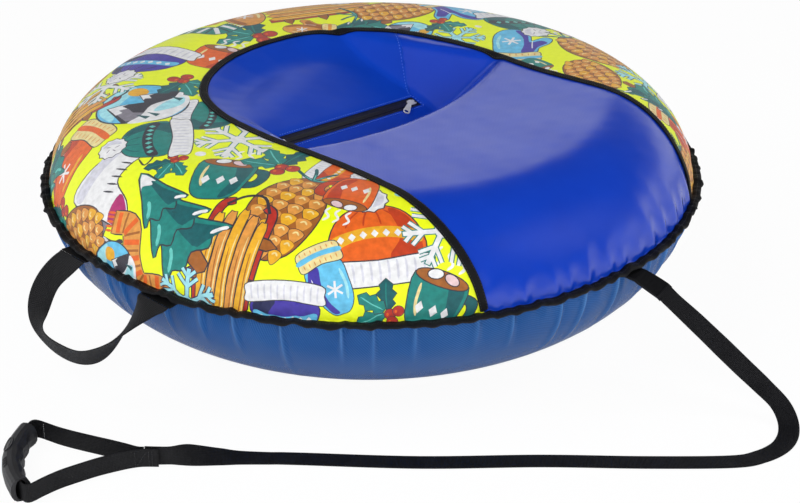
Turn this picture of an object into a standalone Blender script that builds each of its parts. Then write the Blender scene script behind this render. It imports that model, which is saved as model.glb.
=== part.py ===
"""Snow tube: an inflated inner tube in a sewn cover with a zip, two webbing handles and a tow strap.

Metres, +Z up. The origin is on the floor under the middle of the flat bottom. +Y points away from
the tow strap's front run, and +X to the side where the strap leaves the rim.
"""

import math

import bmesh
import bpy
from mathutils import Matrix, Vector
from mathutils.geometry import delaunay_2d_cdt

# Inflated cover
RIM_RADIUS = 0.430
RIM_HEIGHT = 0.163
CREST_RADIUS = 0.292
CREST_HEIGHT = 0.270
BOTTOM_FLAT_RADIUS = 0.184
SEAT_SAG = 0.006
COVER_THICKNESS = 0.0008
CLEARANCE = 0.0003
CLOTH_CELL = 0.029
CLOTH_EDGE_ROOM = 0.006
LINE_ROOM = 0.0024
MERGE_DISTANCE = 0.00001

# Gathers of the sewn rim
GATHER_COUNT = 48
STEPS_PER_GATHER = 3
GATHER_HEIGHT = 0.0025
GATHER_DEPTH = 0.002
GATHER_REACH = 0.030
GATHER_START_STEP = 2

# Seat seam, from the rim round the tip and back to the rim
SEAM_START_ANGLE = math.radians(-71.2)
SEAM_END_ANGLE = math.radians(-15.0)
SEAM_POINT_SHARES = [
    (0.284, -0.875), (0.254, -0.828), (0.194, -0.749), (0.088, -0.626), (-0.021, -0.507),
    (-0.097, -0.434), (-0.174, -0.365), (-0.253, -0.298), (-0.335, -0.214), (-0.378, -0.163),
    (-0.417, -0.098), (-0.441, -0.035), (-0.448, 0.035), (-0.438, 0.115), (-0.400, 0.218),
    (-0.330, 0.312), (-0.227, 0.394), (-0.103, 0.438), (0.048, 0.434), (0.174, 0.381),
    (0.300, 0.296), (0.458, 0.143), (0.610, 0.029), (0.718, -0.066), (0.808, -0.168),
    (0.861, -0.214), (0.906, -0.237),
]
SEAM_STEPS_PER_POINT = 3

# Binding tapes
BINDING_WIDTH = 0.011
BINDING_THICKNESS = 0.001
BINDING_SETBACK = 0.001
SEAM_TAPE_WIDTH = 0.0115
SEAM_TAPE_THICKNESS = 0.0013
SEAM_TAPE_LIFT = 0.0008
SEAM_TAPE_END_GAP = 0.0070

# Seat hollow: a taut slope that carries the zip, a steep front wall and a right end wall
SLOPE_TILT = 0.40
FRONT_WALL_TILT = 1.05
FRONT_WALL_SINK = 0.07477
FRONT_WALL_ACROSS = -0.113
FRONT_WALL_BEND = 1.25
FRONT_WALL_MIDDLE = 0.030
END_WALL_TILT = 1.6
VALLEY_BLEND = 0.038
END_BLEND = 0.008
LIP_BLEND = 0.018

# Zip
ZIP_LENGTH = 0.258
ZIP_HEADING = math.radians(51.3)
ZIP_MIDDLE_SHARES = (-0.048, 0.0256)
ZIP_LEFT_SINK = 0.26168
ZIP_RIGHT_SINK = 0.58879
ZIP_SLOT_WIDTH = 0.018
ZIP_TAPE_LAP = 0.004
ZIP_LEFT_TUCK = 0.0185
ZIP_FRONT_ROW = 0.026
PANEL_SEAM_HEADING = math.radians(103.0)
PANEL_SEAM_GAP = 0.0012
ZIP_TAPE_THICKNESS = 0.0006
CHAIN_HEIGHT = 0.0022
CHAIN_HALF_WIDTH = 0.0032
CHAIN_SPINE_WIDTH = 0.0020
TOOTH_OVERREACH = 0.0009
TOOTH_PITCH = 0.0054
CHAIN_LEFT_REACH = 0.0097
CHAIN_RIGHT_GAP = 0.012
STOP_LENGTH = 0.0025
STOP_HEIGHT = 0.0034

# Zip slider and its puller
SLIDER_LENGTH = 0.0125
SLIDER_REAR_WIDTH = 0.0080
SLIDER_FRONT_WIDTH = 0.0100
SLIDER_PLATE = 0.0010
SLIDER_RUN = 0.00035
SLIDER_POST_RADIUS = 0.0011
CROWN_HALF_LENGTH = 0.0032
CROWN_RISE = 0.0043
CROWN_BAR_RADIUS = 0.00045
CROWN_EYE_ANGLE = math.radians(140.0)
PULLER_LENGTH = 0.0330
PULLER_WIDTH = 0.0098
PULLER_THICKNESS = 0.0008
PULLER_EYE_RADIUS = 0.00145
PULLER_EYE_WALL = 0.0007
PULLER_SKEW = math.radians(30.0)
PULLER_DROOP = math.radians(2.5)
PULLER_HOLE_WIDTH = 0.0058
PULLER_HOLE_LENGTH = 0.0062

# Inner tube and valve
TUBE_WALL = 0.0012
TUBE_INNER_RADIUS = 0.190
TUBE_WAIST_HEIGHT = 0.140
TUBE_BOTTOM_RADIUS = 0.235
TUBE_SIDE_ROOM = 0.0050
TUBE_CREST_ROOM = 0.0042
TUBE_STEPS = 36
TUBE_ARC_STEPS = 4
VALVE_HEADING = math.radians(110.0)
VALVE_LENGTH = 0.032
VALVE_RADIUS = 0.0040
VALVE_BORE_RADIUS = 0.0026
VALVE_ROOT = 0.0060
VALVE_FLANGE_RADIUS = 0.0095
VALVE_FLANGE_THICKNESS = 0.0015
PATCH_RADIUS = 0.017
PATCH_THICKNESS = 0.0025
CORE_LENGTH = 0.0140
CORE_INSET = 0.0015
CORE_BORE_RADIUS = 0.0009
VALVE_PIN_RADIUS = 0.0006
VALVE_PIN_PROUD = 0.0008
CAP_WALL = 0.0012
CAP_LENGTH = 0.0120
CAP_ROOM = 0.0012
CAP_RIBS = 12
CAP_RIB_DEPTH = 0.0005

# Carry handles
HANDLE_WIDTH = 0.038
HANDLE_THICKNESS = 0.0016
HANDLE_SPREAD = math.radians(20.9)
HANDLE_HEADINGS = {"left": math.radians(-135.0), "right": math.radians(45.0)}
HANDLE_HANGS = {"left": math.radians(64.0), "right": math.radians(82.0)}
HANDLE_LENGTH = 0.121
HANDLE_ROUTE_SHARES = [
    (-0.660, 0.000), (-0.741, 0.105), (-0.869, 0.259), (-0.943, 0.447), (-0.939, 0.645),
    (-0.862, 0.776), (-0.768, 0.861), (-0.588, 0.920), (-0.277, 0.912), (0.007, 0.838),
    (0.193, 0.668), (0.349, 0.467), (0.481, 0.235), (0.578, 0.087), (0.660, 0.000),
]
HANDLE_TWISTS_DEG = [
    0.0, 0.0, -3.7, -10.9, -9.2, 10.3, 38.1, 50.2, 52.8, 69.9, 97.1, 125.3, 148.0, 176.0, 180.0,
]
HANDLE_SLANT_LENGTH = 0.028
HANDLE_STEPS_PER_POINT = 3
HANDLE_TAB_OVERHANG = 0.0022
HINGE_RADIUS = 0.0010

# Tow strap, its anchor, the loop and the grip, with their places from the anchor's place on the rim
STRAP_WIDTH = 0.025
STRAP_THICKNESS = 0.0018
ANCHOR_THICKNESS = 0.0036
ANCHOR_HEADING = math.radians(-42.5)
STRAP_STEP = 0.016
STRAP_LIFT = 0.0002
TOW_ROUTE = [
    (0.0360, -0.0140, 0.1385, 22.0), (0.0470, -0.0195, 0.1300, 26.0), (0.0770, -0.0275, 0.1070, 38.0),
    (0.1070, -0.0345, 0.0820, 43.0), (0.1350, -0.0445, 0.0580, 40.0), (0.1580, -0.0545, 0.0380, 32.0),
    (0.1770, -0.0675, 0.0200, 20.0), (0.1830, -0.0865, 0.0070, 6.0), (0.1780, -0.1105, 0.0011, 0.0),
    (0.1630, -0.1345, 0.0011, 0.0), (0.1380, -0.1535, 0.0011, 0.0), (0.1030, -0.1640, 0.0011, 0.0),
    (0.0030, -0.1655, 0.0011, 0.0), (-0.1170, -0.1625, 0.0011, 0.0), (-0.2570, -0.1655, 0.0011, 0.0),
    (-0.3960, -0.1581, 0.0011, 0.0), (-0.4303, -0.1571, 0.0011, 0.0), (-0.4649, -0.1574, 0.0020, -5.0),
    (-0.4820, -0.1593, 0.0040, -16.0), (-0.4991, -0.1613, 0.0060, -28.0), (-0.5160, -0.1640, 0.0090, -46.0),
    (-0.5300, -0.1675, 0.0115, -72.0), (-0.5430, -0.1698, 0.0128, -90.0),
    (-0.5570, -0.1701, 0.0128, -90.0), (-0.5725, -0.1693, 0.0128, -90.0),
]
LOOP_ROUTE = [
    (-0.5733, -0.1692, 0.0128), (-0.5810, -0.1685, 0.0128), (-0.5960, -0.1617, 0.0128),
    (-0.6130, -0.1545, 0.0128),
    (-0.6290, -0.1483, 0.0128), (-0.6575, -0.1367, 0.0128), (-0.6770, -0.1285, 0.0134),
    (-0.6910, -0.1220, 0.0146), (-0.7005, -0.1175, 0.0153), (-0.7070, -0.1157, 0.0153),
    (-0.7115, -0.1190, 0.0153), (-0.7135, -0.1265, 0.0153), (-0.7168, -0.1365, 0.0153),
    (-0.7192, -0.1458, 0.0153), (-0.7219, -0.1654, 0.0153), (-0.7215, -0.1852, 0.0153),
    (-0.7181, -0.2047, 0.0153), (-0.7119, -0.2235, 0.0153), (-0.7065, -0.2345, 0.0153),
    (-0.7026, -0.2413, 0.0153), (-0.6990, -0.2465, 0.0153), (-0.6945, -0.2480, 0.0150),
    (-0.6892, -0.2445, 0.0146), (-0.6790, -0.2325, 0.0138), (-0.6642, -0.2180, 0.0130),
    (-0.6480, -0.2067, 0.0128), (-0.6230, -0.1917, 0.0128), (-0.5970, -0.1797, 0.0128),
    (-0.5850, -0.1755, 0.0128), (-0.5750, -0.1735, 0.0128), (-0.5570, -0.1735, 0.0128),
]
LOOP_STEP = 0.0085
GRIP_CHORD = 0.1153
GRIP_BOW = 0.0135
GRIP_MIDDLE = (-0.7215, -0.1852)
GRIP_TURN = math.radians(5.4)
GRIP_WIDTH = 0.0245
GRIP_HEIGHT = 0.0300
GRIP_BORE_WIDTH = 0.0130
GRIP_BORE_HEIGHT = 0.0262
GRIP_WAVES = 4
GRIP_WAVE_DEPTH = 0.0016
GRIP_RINGS = 20
GRIP_SIDES = 16
GRIP_END_SWELL = 0.0020

# Worked-out sizes
RIM_STEPS = GATHER_COUNT * STEPS_PER_GATHER
ROOT_RADIUS = RIM_RADIUS - BINDING_WIDTH - BINDING_SETBACK
FLANGE_WIDTH = RIM_RADIUS - BINDING_THICKNESS - CLEARANCE - ROOT_RADIUS
FLANGE_LAYER = COVER_THICKNESS + CLEARANCE / 2
BINDING_HALF_INSIDE = FLANGE_LAYER + CLEARANCE
BINDING_HALF_HEIGHT = BINDING_HALF_INSIDE + BINDING_THICKNESS
GATHER_STEP_ANGLE = math.tau / (GATHER_COUNT * STEPS_PER_GATHER)
TAPE_DEPTH = COVER_THICKNESS + CLEARANCE + ZIP_TAPE_THICKNESS / 2
ZIP_FLAT_HALF_WIDTH = ZIP_SLOT_WIDTH / 2 + ZIP_TAPE_LAP + COVER_THICKNESS
ZIP_MIDDLE = Vector(ZIP_MIDDLE_SHARES) * RIM_RADIUS
SEAT_RISE = CREST_HEIGHT - RIM_HEIGHT
FRONT_WALL_TOP = CREST_HEIGHT - FRONT_WALL_SINK * SEAT_RISE
ZIP_LEFT_HEIGHT = CREST_HEIGHT - ZIP_LEFT_SINK * SEAT_RISE
ZIP_RIGHT_HEIGHT = CREST_HEIGHT - ZIP_RIGHT_SINK * SEAT_RISE
ZIP_SLOPE = (ZIP_RIGHT_HEIGHT - ZIP_LEFT_HEIGHT) / ZIP_LENGTH
ZIP_MID_HEIGHT = (ZIP_RIGHT_HEIGHT + ZIP_LEFT_HEIGHT) / 2

def clear_scene():
    for thing in list(bpy.data.objects):
        bpy.data.objects.remove(thing)


def make_material(name, colour, roughness, metallic=0.0):
    material = bpy.data.materials.new(name)
    material.use_nodes = True
    shader = material.node_tree.nodes["Principled BSDF"]
    shader.inputs["Base Color"].default_value = (*colour, 1.0)
    shader.inputs["Roughness"].default_value = roughness
    shader.inputs["Metallic"].default_value = metallic
    return material


def add_object(name, mesh, look, smooth=True):
    """One named node, with its own material."""
    mesh.materials.append(make_material(name, *look))
    thing = bpy.data.objects.new(name, mesh)
    bpy.context.scene.collection.objects.link(thing)
    if smooth:
        mesh.shade_smooth()
        mesh.set_sharp_from_angle(angle=math.radians(40.0))
    return thing


def mesh_from(name, points, faces):
    mesh = bpy.data.meshes.new(name)
    mesh.from_pydata([tuple(p) for p in points], [], faces)
    mesh.update()
    return mesh


def add_shell(name, mesh, look):
    """A sheet made solid inwards by the cover's thickness."""
    thing = add_object(name, mesh, look)
    solid = thing.modifiers.new("Cover thickness", "SOLIDIFY")
    solid.thickness = COVER_THICKNESS
    solid.offset = -1.0
    solid.use_even_offset = True
    solid.use_rim = True
    return thing


def ramp(value):
    """A smooth step from 0 to 1."""
    value = min(max(value, 0.0), 1.0)
    return value * value * (3.0 - 2.0 * value)


def polar(radius, angle):
    return Vector((radius * math.cos(angle), radius * math.sin(angle)))


def rim_angle(step):
    return GATHER_STEP_ANGLE * step


def spline(points, steps):
    """A smooth curve through the points, with this many steps from one to the next."""
    ends = [2 * points[0] - points[1], *points, 2 * points[-1] - points[-2]]
    curve = []
    for a, b, c, d in zip(ends, ends[1:], ends[2:], ends[3:]):
        for i in range(steps):
            t = i / steps
            curve.append(
                0.5 * (2 * b + (c - a) * t + (2 * a - 5 * b + 4 * c - d) * t**2
                       + (3 * b - a - 3 * c + d) * t**3)
            )
    return [*curve, points[-1].copy()]


def resample(curve, step):
    """The same curve with points at an even distance near step."""
    lengths = [0.0]
    for a, b in zip(curve, curve[1:]):
        lengths.append(lengths[-1] + (b - a).to_3d().length)
    count = max(2, round(lengths[-1] / step))
    out, j = [], 0
    for i in range(count + 1):
        want = lengths[-1] * i / count
        while j < len(lengths) - 2 and lengths[j + 1] < want:
            j += 1
        share = (want - lengths[j]) / (lengths[j + 1] - lengths[j])
        out.append(curve[j].lerp(curve[j + 1], share))
    return out


def tangents(curve):
    last = len(curve) - 1
    return [(curve[min(i + 1, last)] - curve[max(i - 1, 0)]).normalized() for i in range(last + 1)]


def quarter_arc(width, height, steps=200):
    """Length of a quarter of an ellipse."""
    points = [
        Vector((width * math.sin(math.pi / 2 * i / steps), height * math.cos(math.pi / 2 * i / steps)))
        for i in range(steps + 1)
    ]
    return sum((b - a).length for a, b in zip(points, points[1:]))


# Lengths of the flat pattern, from the middle to the rim's root and to the flange's edge
TOP_RISE = CREST_HEIGHT - RIM_HEIGHT - FLANGE_LAYER
BOTTOM_DROP = RIM_HEIGHT - FLANGE_LAYER
TOP_FLAT = CREST_RADIUS + quarter_arc(ROOT_RADIUS - CREST_RADIUS, TOP_RISE)
BOTTOM_FLAT = BOTTOM_FLAT_RADIUS + quarter_arc(ROOT_RADIUS - BOTTOM_FLAT_RADIUS, BOTTOM_DROP)


def gather(angle):
    """Rise of the sewn rim at an angle: 1 on a gather, 0 between two and beside the seat seam's ends."""
    for end in (SEAM_START_ANGLE, SEAM_END_ANGLE):
        away = (angle - end + math.pi) % math.tau - math.pi
        if abs(away) < 1.5 * GATHER_STEP_ANGLE:
            return 0.0
    beyond = (angle / GATHER_STEP_ANGLE - GATHER_START_STEP) % STEPS_PER_GATHER
    return max(0.0, 1.0 - min(beyond, STEPS_PER_GATHER - beyond))


def zip_axes():
    """Directions along the zip to its right end and up the slope across it, each a metre in plan."""
    along = Vector((math.cos(ZIP_HEADING), math.sin(ZIP_HEADING), ZIP_SLOPE))
    across = Vector((-math.sin(ZIP_HEADING), math.cos(ZIP_HEADING), SLOPE_TILT))
    return along, across


def zip_frame():
    """Axes of the zip: along it to the right end, across it to the back, and out of the seat."""
    along, across = zip_axes()
    along.normalize()
    out = along.cross(across).normalized()
    frame = Matrix((along, out.cross(along), out)).transposed().to_4x4()
    frame.translation = Vector((*ZIP_MIDDLE, ZIP_MID_HEIGHT)) - out * TAPE_DEPTH
    return frame


def zip_xy(along, across):
    """A plan point from its plan distance along the zip and its true distance across it."""
    run, side = zip_axes()
    plan = along / run.length
    return ZIP_MIDDLE + run.xy * plan + side.xy * across * run.length / run.cross(side).length


def blend_max(a, b, room):
    """The greater of two heights, rounded where they are within room of each other."""
    near = max(room - abs(a - b), 0.0) / room
    return max(a, b) + near * near * room / 4


def seat_height(x, y, height):
    """The seat's height at a plan point, once the hollow along the zip is taken off."""
    offset = Vector((x, y)) - ZIP_MIDDLE
    along = offset.x * math.cos(ZIP_HEADING) + offset.y * math.sin(ZIP_HEADING)
    across = -offset.x * math.sin(ZIP_HEADING) + offset.y * math.cos(ZIP_HEADING)
    slope = ZIP_MID_HEIGHT + ZIP_SLOPE * along + SLOPE_TILT * across
    lip = FRONT_WALL_ACROSS + FRONT_WALL_BEND * (along - FRONT_WALL_MIDDLE) ** 2
    front = FRONT_WALL_TOP + FRONT_WALL_TILT * (lip - across)
    beyond = max(along - ZIP_LENGTH / 2 - ZIP_TAPE_LAP, -along - ZIP_LENGTH / 2 - ZIP_LEFT_TUCK)
    end = slope + END_WALL_TILT * beyond - END_BLEND
    hollow = blend_max(blend_max(slope, end, END_BLEND), front, VALLEY_BLEND)
    return -blend_max(-height, -hollow, LIP_BLEND)


def top_point(x, y, lift=0.0):
    """Where a point of the top's flat pattern lies on the inflated cover."""
    reach = math.hypot(x, y)
    angle = math.atan2(y, x)
    ridge = gather(angle) * ramp((reach - TOP_FLAT + GATHER_REACH) / GATHER_REACH)
    if reach <= CREST_RADIUS:
        radius = reach
        height = CREST_HEIGHT - SEAT_SAG * (1.0 - (reach / CREST_RADIUS) ** 2) ** 2
    elif reach <= TOP_FLAT:
        turn = math.pi / 2 * (reach - CREST_RADIUS) / (TOP_FLAT - CREST_RADIUS)
        radius = CREST_RADIUS + (ROOT_RADIUS - CREST_RADIUS) * math.sin(turn) - GATHER_DEPTH * ridge
        height = RIM_HEIGHT + FLANGE_LAYER + TOP_RISE * math.cos(turn)
    else:
        flange_share = (reach - TOP_FLAT) / FLANGE_WIDTH
        radius = ROOT_RADIUS + FLANGE_WIDTH * flange_share - GATHER_DEPTH * ridge * (1.0 - flange_share)
        height = RIM_HEIGHT + FLANGE_LAYER
    place = polar(radius, angle)
    height = seat_height(place.x, place.y, height) + GATHER_HEIGHT * ridge
    point = Vector((place.x, place.y, height))
    if lift:
        step = COVER_THICKNESS
        run_x = top_point(x + step, y) - top_point(x - step, y)
        run_y = top_point(x, y + step) - top_point(x, y - step)
        point += run_x.cross(run_y).normalized() * lift
    return point


def bottom_point(x, y):
    """Where a point of the bottom's flat pattern lies on the inflated cover."""
    reach = math.hypot(x, y)
    angle = math.atan2(y, x)
    ridge = gather(angle) * ramp((reach - BOTTOM_FLAT + GATHER_REACH) / GATHER_REACH)
    if reach <= BOTTOM_FLAT_RADIUS:
        radius, height = reach, 0.0
    elif reach <= BOTTOM_FLAT:
        turn = math.pi / 2 * (reach - BOTTOM_FLAT_RADIUS) / (BOTTOM_FLAT - BOTTOM_FLAT_RADIUS)
        radius = BOTTOM_FLAT_RADIUS + (ROOT_RADIUS - BOTTOM_FLAT_RADIUS) * math.sin(turn)
        radius -= GATHER_DEPTH * ridge
        height = BOTTOM_DROP * (1.0 - math.cos(turn))
    else:
        flange_share = (reach - BOTTOM_FLAT) / FLANGE_WIDTH
        radius = ROOT_RADIUS + FLANGE_WIDTH * flange_share - GATHER_DEPTH * ridge * (1.0 - flange_share)
        height = BOTTOM_DROP
    place = polar(radius, angle)
    return Vector((place.x, place.y, height + GATHER_HEIGHT * ridge))


def inside(point, outline):
    hit = False
    for a, b in zip(outline, outline[1:] + outline[:1]):
        if (a.y > point.y) != (b.y > point.y):
            if point.x < a.x + (b.x - a.x) * (point.y - a.y) / (b.y - a.y):
                hit = not hit
    return hit


def segment_distance(point, a, b):
    run = b - a
    share = min(max((point - a).dot(run) / run.length_squared, 0.0), 1.0)
    return (point - a - run * share).length


def pattern_points(root):
    """Loose points of a flat pattern: rings down the bulge, then a staggered grid in the middle."""
    points = [(polar(root, rim_angle(i)), CLOTH_EDGE_ROOM) for i in range(RIM_STEPS)]
    ring_reaches = (root - GATHER_REACH, root - 2.2 * GATHER_REACH, root - 3.7 * GATHER_REACH)
    for ring, reach in enumerate(ring_reaches):
        steps = RIM_STEPS // 2 if ring < 2 else RIM_STEPS // 3
        points += [(polar(reach, math.tau * (i + ring / 2) / steps), CLOTH_CELL * 0.42) for i in range(steps)]
    inner = root - 4.6 * GATHER_REACH
    rows = int(inner / CLOTH_CELL) + 1
    for row in range(-rows, rows + 1):
        for column in range(-rows, rows + 1):
            spot = Vector((column + (row % 2) / 2, row * math.sqrt(3) / 2)) * CLOTH_CELL
            if spot.length < inner:
                points.append((spot, CLOTH_CELL * 0.42))
    return points


def pattern_mesh(name, outline, lines, loose, place, flip=False):
    """Triangulate a flat pattern and carry it onto the inflated cover."""
    verts = [p.copy() for p in outline]
    edges = [(i, (i + 1) % len(outline)) for i in range(len(outline))]
    segments = list(zip(outline, outline[1:] + outline[:1]))
    for line in lines:
        first = len(verts)
        verts += [p.copy() for p in line]
        edges += [(first + i, first + i + 1) for i in range(len(line) - 1)]
        segments += list(zip(line, line[1:]))
    for spot, room in loose:
        if inside(spot, outline) and all(segment_distance(spot, a, b) > room for a, b in segments):
            verts.append(spot.copy())
    found = delaunay_2d_cdt(verts, edges, [], 1, MERGE_DISTANCE)
    faces = [f if (_turns_left(found[0], f) != flip) else f[::-1] for f in found[2]]
    return mesh_from(name, [place(p.x, p.y) for p in found[0]], faces)


def _turns_left(points, face):
    a, b, c = (points[i] for i in face[:3])
    return (b - a).cross(c - a) > 0.0


def seam_curve():
    """The seat seam in the top's flat pattern, from one rim end to the other."""
    start, end = SEAM_START_ANGLE, SEAM_END_ANGLE
    full = TOP_FLAT + FLANGE_WIDTH
    points = [polar(TOP_FLAT, start)]
    points += [Vector(p) * full for p in SEAM_POINT_SHARES]
    points += [polar(TOP_FLAT, end)]
    return [polar(full, start), *spline(points, SEAM_STEPS_PER_POINT), polar(full, end)]


def offset_curve(curve, distance):
    """The curve moved to its right by a distance, and still from rim to rim."""
    moved = []
    for point, way in zip(curve, tangents(curve)):
        moved.append(point + Vector((way.y, -way.x)) * distance)
    for at in (0, -1):
        moved[at] = moved[at].normalized() * curve[at].length
    for at in (1, -2):
        moved[at] = moved[at].normalized() * curve[at].length
    return moved


def crossing(curve, origin, way):
    """Where a ray from origin meets the curve: the step before it, and the point."""
    side = Vector((-way.y, way.x))
    best = None
    for i, (a, b) in enumerate(zip(curve, curve[1:])):
        before, after = (a - origin).dot(side), (b - origin).dot(side)
        if (before > 0.0) == (after > 0.0):
            continue
        point = a.lerp(b, before / (before - after))
        reach = (point - origin).dot(way)
        if reach > 0.0 and (best is None or reach < best[0]):
            best = (reach, i, point)
    return best[1], best[2]


def straight(a, b, step):
    """Points from a to b, without b, near step apart."""
    count = max(1, round((b - a).length / step))
    return [a.lerp(b, i / count) for i in range(count)]


def rim_arc(first, last, reach):
    """Points on the rim's even steps from one angle to another, well clear of both."""
    low, high = min(first, last) / GATHER_STEP_ANGLE, max(first, last) / GATHER_STEP_ANGLE
    steps = list(range(math.ceil(low + 0.4), math.floor(high - 0.4) + 1))
    if last < first:
        steps.reverse()
    return [polar(reach, rim_angle(i)) for i in steps]


def build_top_panels(curve):
    full = TOP_FLAT + FLANGE_WIDTH
    half_gap = CLEARANCE
    half_tape = SEAM_TAPE_WIDTH / 2
    loose = pattern_points(TOP_FLAT)

    # Printed panel: outside the seam, round the back and the left
    print_edge = offset_curve(curve, -half_gap)
    outline = print_edge + rim_arc(SEAM_END_ANGLE, SEAM_START_ANGLE + math.tau, full)
    root = [print_edge[-2]]
    root += rim_arc(SEAM_END_ANGLE, SEAM_START_ANGLE + math.tau, TOP_FLAT) + [print_edge[1]]
    tape_line = offset_curve(curve, -half_tape)[3:-3]
    mesh = pattern_mesh("printed_panel", outline, [root, tape_line], loose, top_point)
    add_shell("printed_panel", mesh, ((0.62, 0.78, 0.02), 0.35))

    # Seat pieces: inside the seam, on both sides of the zip
    seat_edge = offset_curve(curve, half_gap)
    half, slot = ZIP_LENGTH / 2, ZIP_SLOT_WIDTH / 2
    low_corner, high_corner = zip_xy(half, -slot), zip_xy(half, slot)
    slot_left = -half - ZIP_LEFT_TUCK + ZIP_TAPE_LAP
    high_left, low_left = zip_xy(slot_left, slot), zip_xy(slot_left, -slot + PANEL_SEAM_GAP)
    heading = Vector((math.cos(ZIP_HEADING), math.sin(ZIP_HEADING)))
    up = Vector((math.cos(PANEL_SEAM_HEADING), math.sin(PANEL_SEAM_HEADING)))
    seat_corner = high_corner + heading * PANEL_SEAM_GAP
    low_step, low_end = crossing(seat_edge, low_corner, -heading)
    left_step, left_end = crossing(seat_edge, low_left, -heading)
    zip_step, zip_top = crossing(seat_edge, high_corner, up)
    seat_step, seat_top = crossing(seat_edge, seat_corner, up)
    flat_rows = []
    for across in (-ZIP_FLAT_HALF_WIDTH, ZIP_FLAT_HALF_WIDTH, -ZIP_FRONT_ROW):
        ends = zip_xy(-half - ZIP_LEFT_TUCK, across), zip_xy(half + ZIP_TAPE_LAP, across)
        flat_rows += [(p, LINE_ROOM) for p in straight(*ends, CLOTH_CELL) + [ends[1]]]
    tape_line = offset_curve(curve, half_tape)[3:-3]

    outline = [left_end, *seat_edge[left_step + 1 : zip_step + 1], zip_top]
    outline += straight(zip_top, high_corner, CLOTH_CELL)[1:]
    outline += straight(high_corner, high_left, CLOTH_CELL)
    outline += [high_left, *straight(low_left, left_end, CLOTH_CELL)]
    tape = _part_inside(tape_line, outline)
    mesh = pattern_mesh("zip_panel", outline, tape, flat_rows + loose, top_point)
    add_shell("zip_panel", mesh, ((0.01, 0.06, 0.52), 0.25))

    outline = [*seat_edge[: low_step + 1], low_end]
    outline += straight(low_end, low_corner, CLOTH_CELL)[1:]
    outline += [low_corner, seat_corner]
    outline += straight(seat_corner, seat_top, CLOTH_CELL)[1:] + [seat_top]
    outline += seat_edge[seat_step + 1 :] + rim_arc(SEAM_END_ANGLE, SEAM_START_ANGLE, full)
    root = [seat_edge[-2], *rim_arc(SEAM_END_ANGLE, SEAM_START_ANGLE, TOP_FLAT), seat_edge[1]]
    tape = _part_inside(tape_line, outline)
    mesh = pattern_mesh("seat_panel", outline, [root, *tape], flat_rows + loose, top_point)
    add_shell("seat_panel", mesh, ((0.01, 0.06, 0.56), 0.2))


def _part_inside(line, outline):
    """The stretches of a line that lie inside an outline."""
    runs, run = [], []
    for point in line:
        clear = all(
            segment_distance(point, a, b) > LINE_ROOM for a, b in zip(outline, outline[1:] + outline[:1])
        )
        if inside(point, outline) and clear:
            run.append(point)
        else:
            if len(run) > 1:
                runs.append(run)
            run = []
    if len(run) > 1:
        runs.append(run)
    return runs


def build_bottom_cover():
    full = BOTTOM_FLAT + FLANGE_WIDTH
    outline = [polar(full, rim_angle(i)) for i in range(RIM_STEPS)]
    root = [polar(BOTTOM_FLAT, rim_angle(i)) for i in range(RIM_STEPS)]
    flat_edge = [polar(BOTTOM_FLAT_RADIUS, math.tau * i / GATHER_COUNT) for i in range(GATHER_COUNT)]
    lines = [root + root[:1], flat_edge + flat_edge[:1]]
    loose = []
    rings = ((1, 2), (2.2, 2), (3.7, 3), (5.2, 3), (6.7, 4), (8.1, 4), (9.4, 4))
    for share, skip in rings:
        reach, steps = BOTTOM_FLAT - share * GATHER_REACH, RIM_STEPS // skip
        loose += [(polar(reach, math.tau * (i + share) / steps), CLOTH_EDGE_ROOM) for i in range(steps)]
    mesh = pattern_mesh("bottom_cover", outline, lines, loose, bottom_point, flip=True)
    add_shell("bottom_cover", mesh, ((0.02, 0.10, 0.38), 0.35))


def swept(name, rings, look, closed=False):
    """A solid through rings of points; open runs get flat ends."""
    sides = len(rings[0])
    points = [p for ring in rings for p in ring]
    faces = []
    for i in range(len(rings) if closed else len(rings) - 1):
        a, b = i * sides, (i + 1) % len(rings) * sides
        for j in range(sides):
            k = (j + 1) % sides
            if 2 * j < sides:
                faces += [(a + j, b + j, b + k), (a + j, b + k, a + k)]
            else:
                faces += [(a + j, b + j, a + k), (a + k, b + j, b + k)]
    if not closed:
        faces.append(tuple(range(sides)))
        faces.append(tuple(reversed(range(len(points) - sides, len(points)))))
    return add_object(name, outward(mesh_from(name, points, faces)), look)


def outward(mesh):
    """Make a closed mesh's faces point out."""
    shape = bmesh.new()
    shape.from_mesh(mesh)
    bmesh.ops.recalc_face_normals(shape, faces=shape.faces)
    shape.to_mesh(mesh)
    shape.free()
    return mesh


def build_rim_binding():
    """A tape folded over the flange, following its gathers."""
    inner = RIM_RADIUS - BINDING_WIDTH
    cavity = RIM_RADIUS - BINDING_THICKNESS
    profile = [
        (inner, BINDING_HALF_HEIGHT), (RIM_RADIUS, BINDING_HALF_HEIGHT),
        (RIM_RADIUS, -BINDING_HALF_HEIGHT), (inner, -BINDING_HALF_HEIGHT),
        (inner, -BINDING_HALF_INSIDE), (cavity, -BINDING_HALF_INSIDE),
        (cavity, BINDING_HALF_INSIDE), (inner, BINDING_HALF_INSIDE),
    ]
    rings = []
    for step in range(RIM_STEPS):
        angle = rim_angle(step)
        middle = RIM_HEIGHT + GATHER_HEIGHT * gather(angle)
        rings.append([Vector((*polar(radius, angle), middle + height)) for radius, height in profile])
    swept("rim_binding", rings, ((0.012, 0.012, 0.014), 0.7), closed=True)


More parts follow.
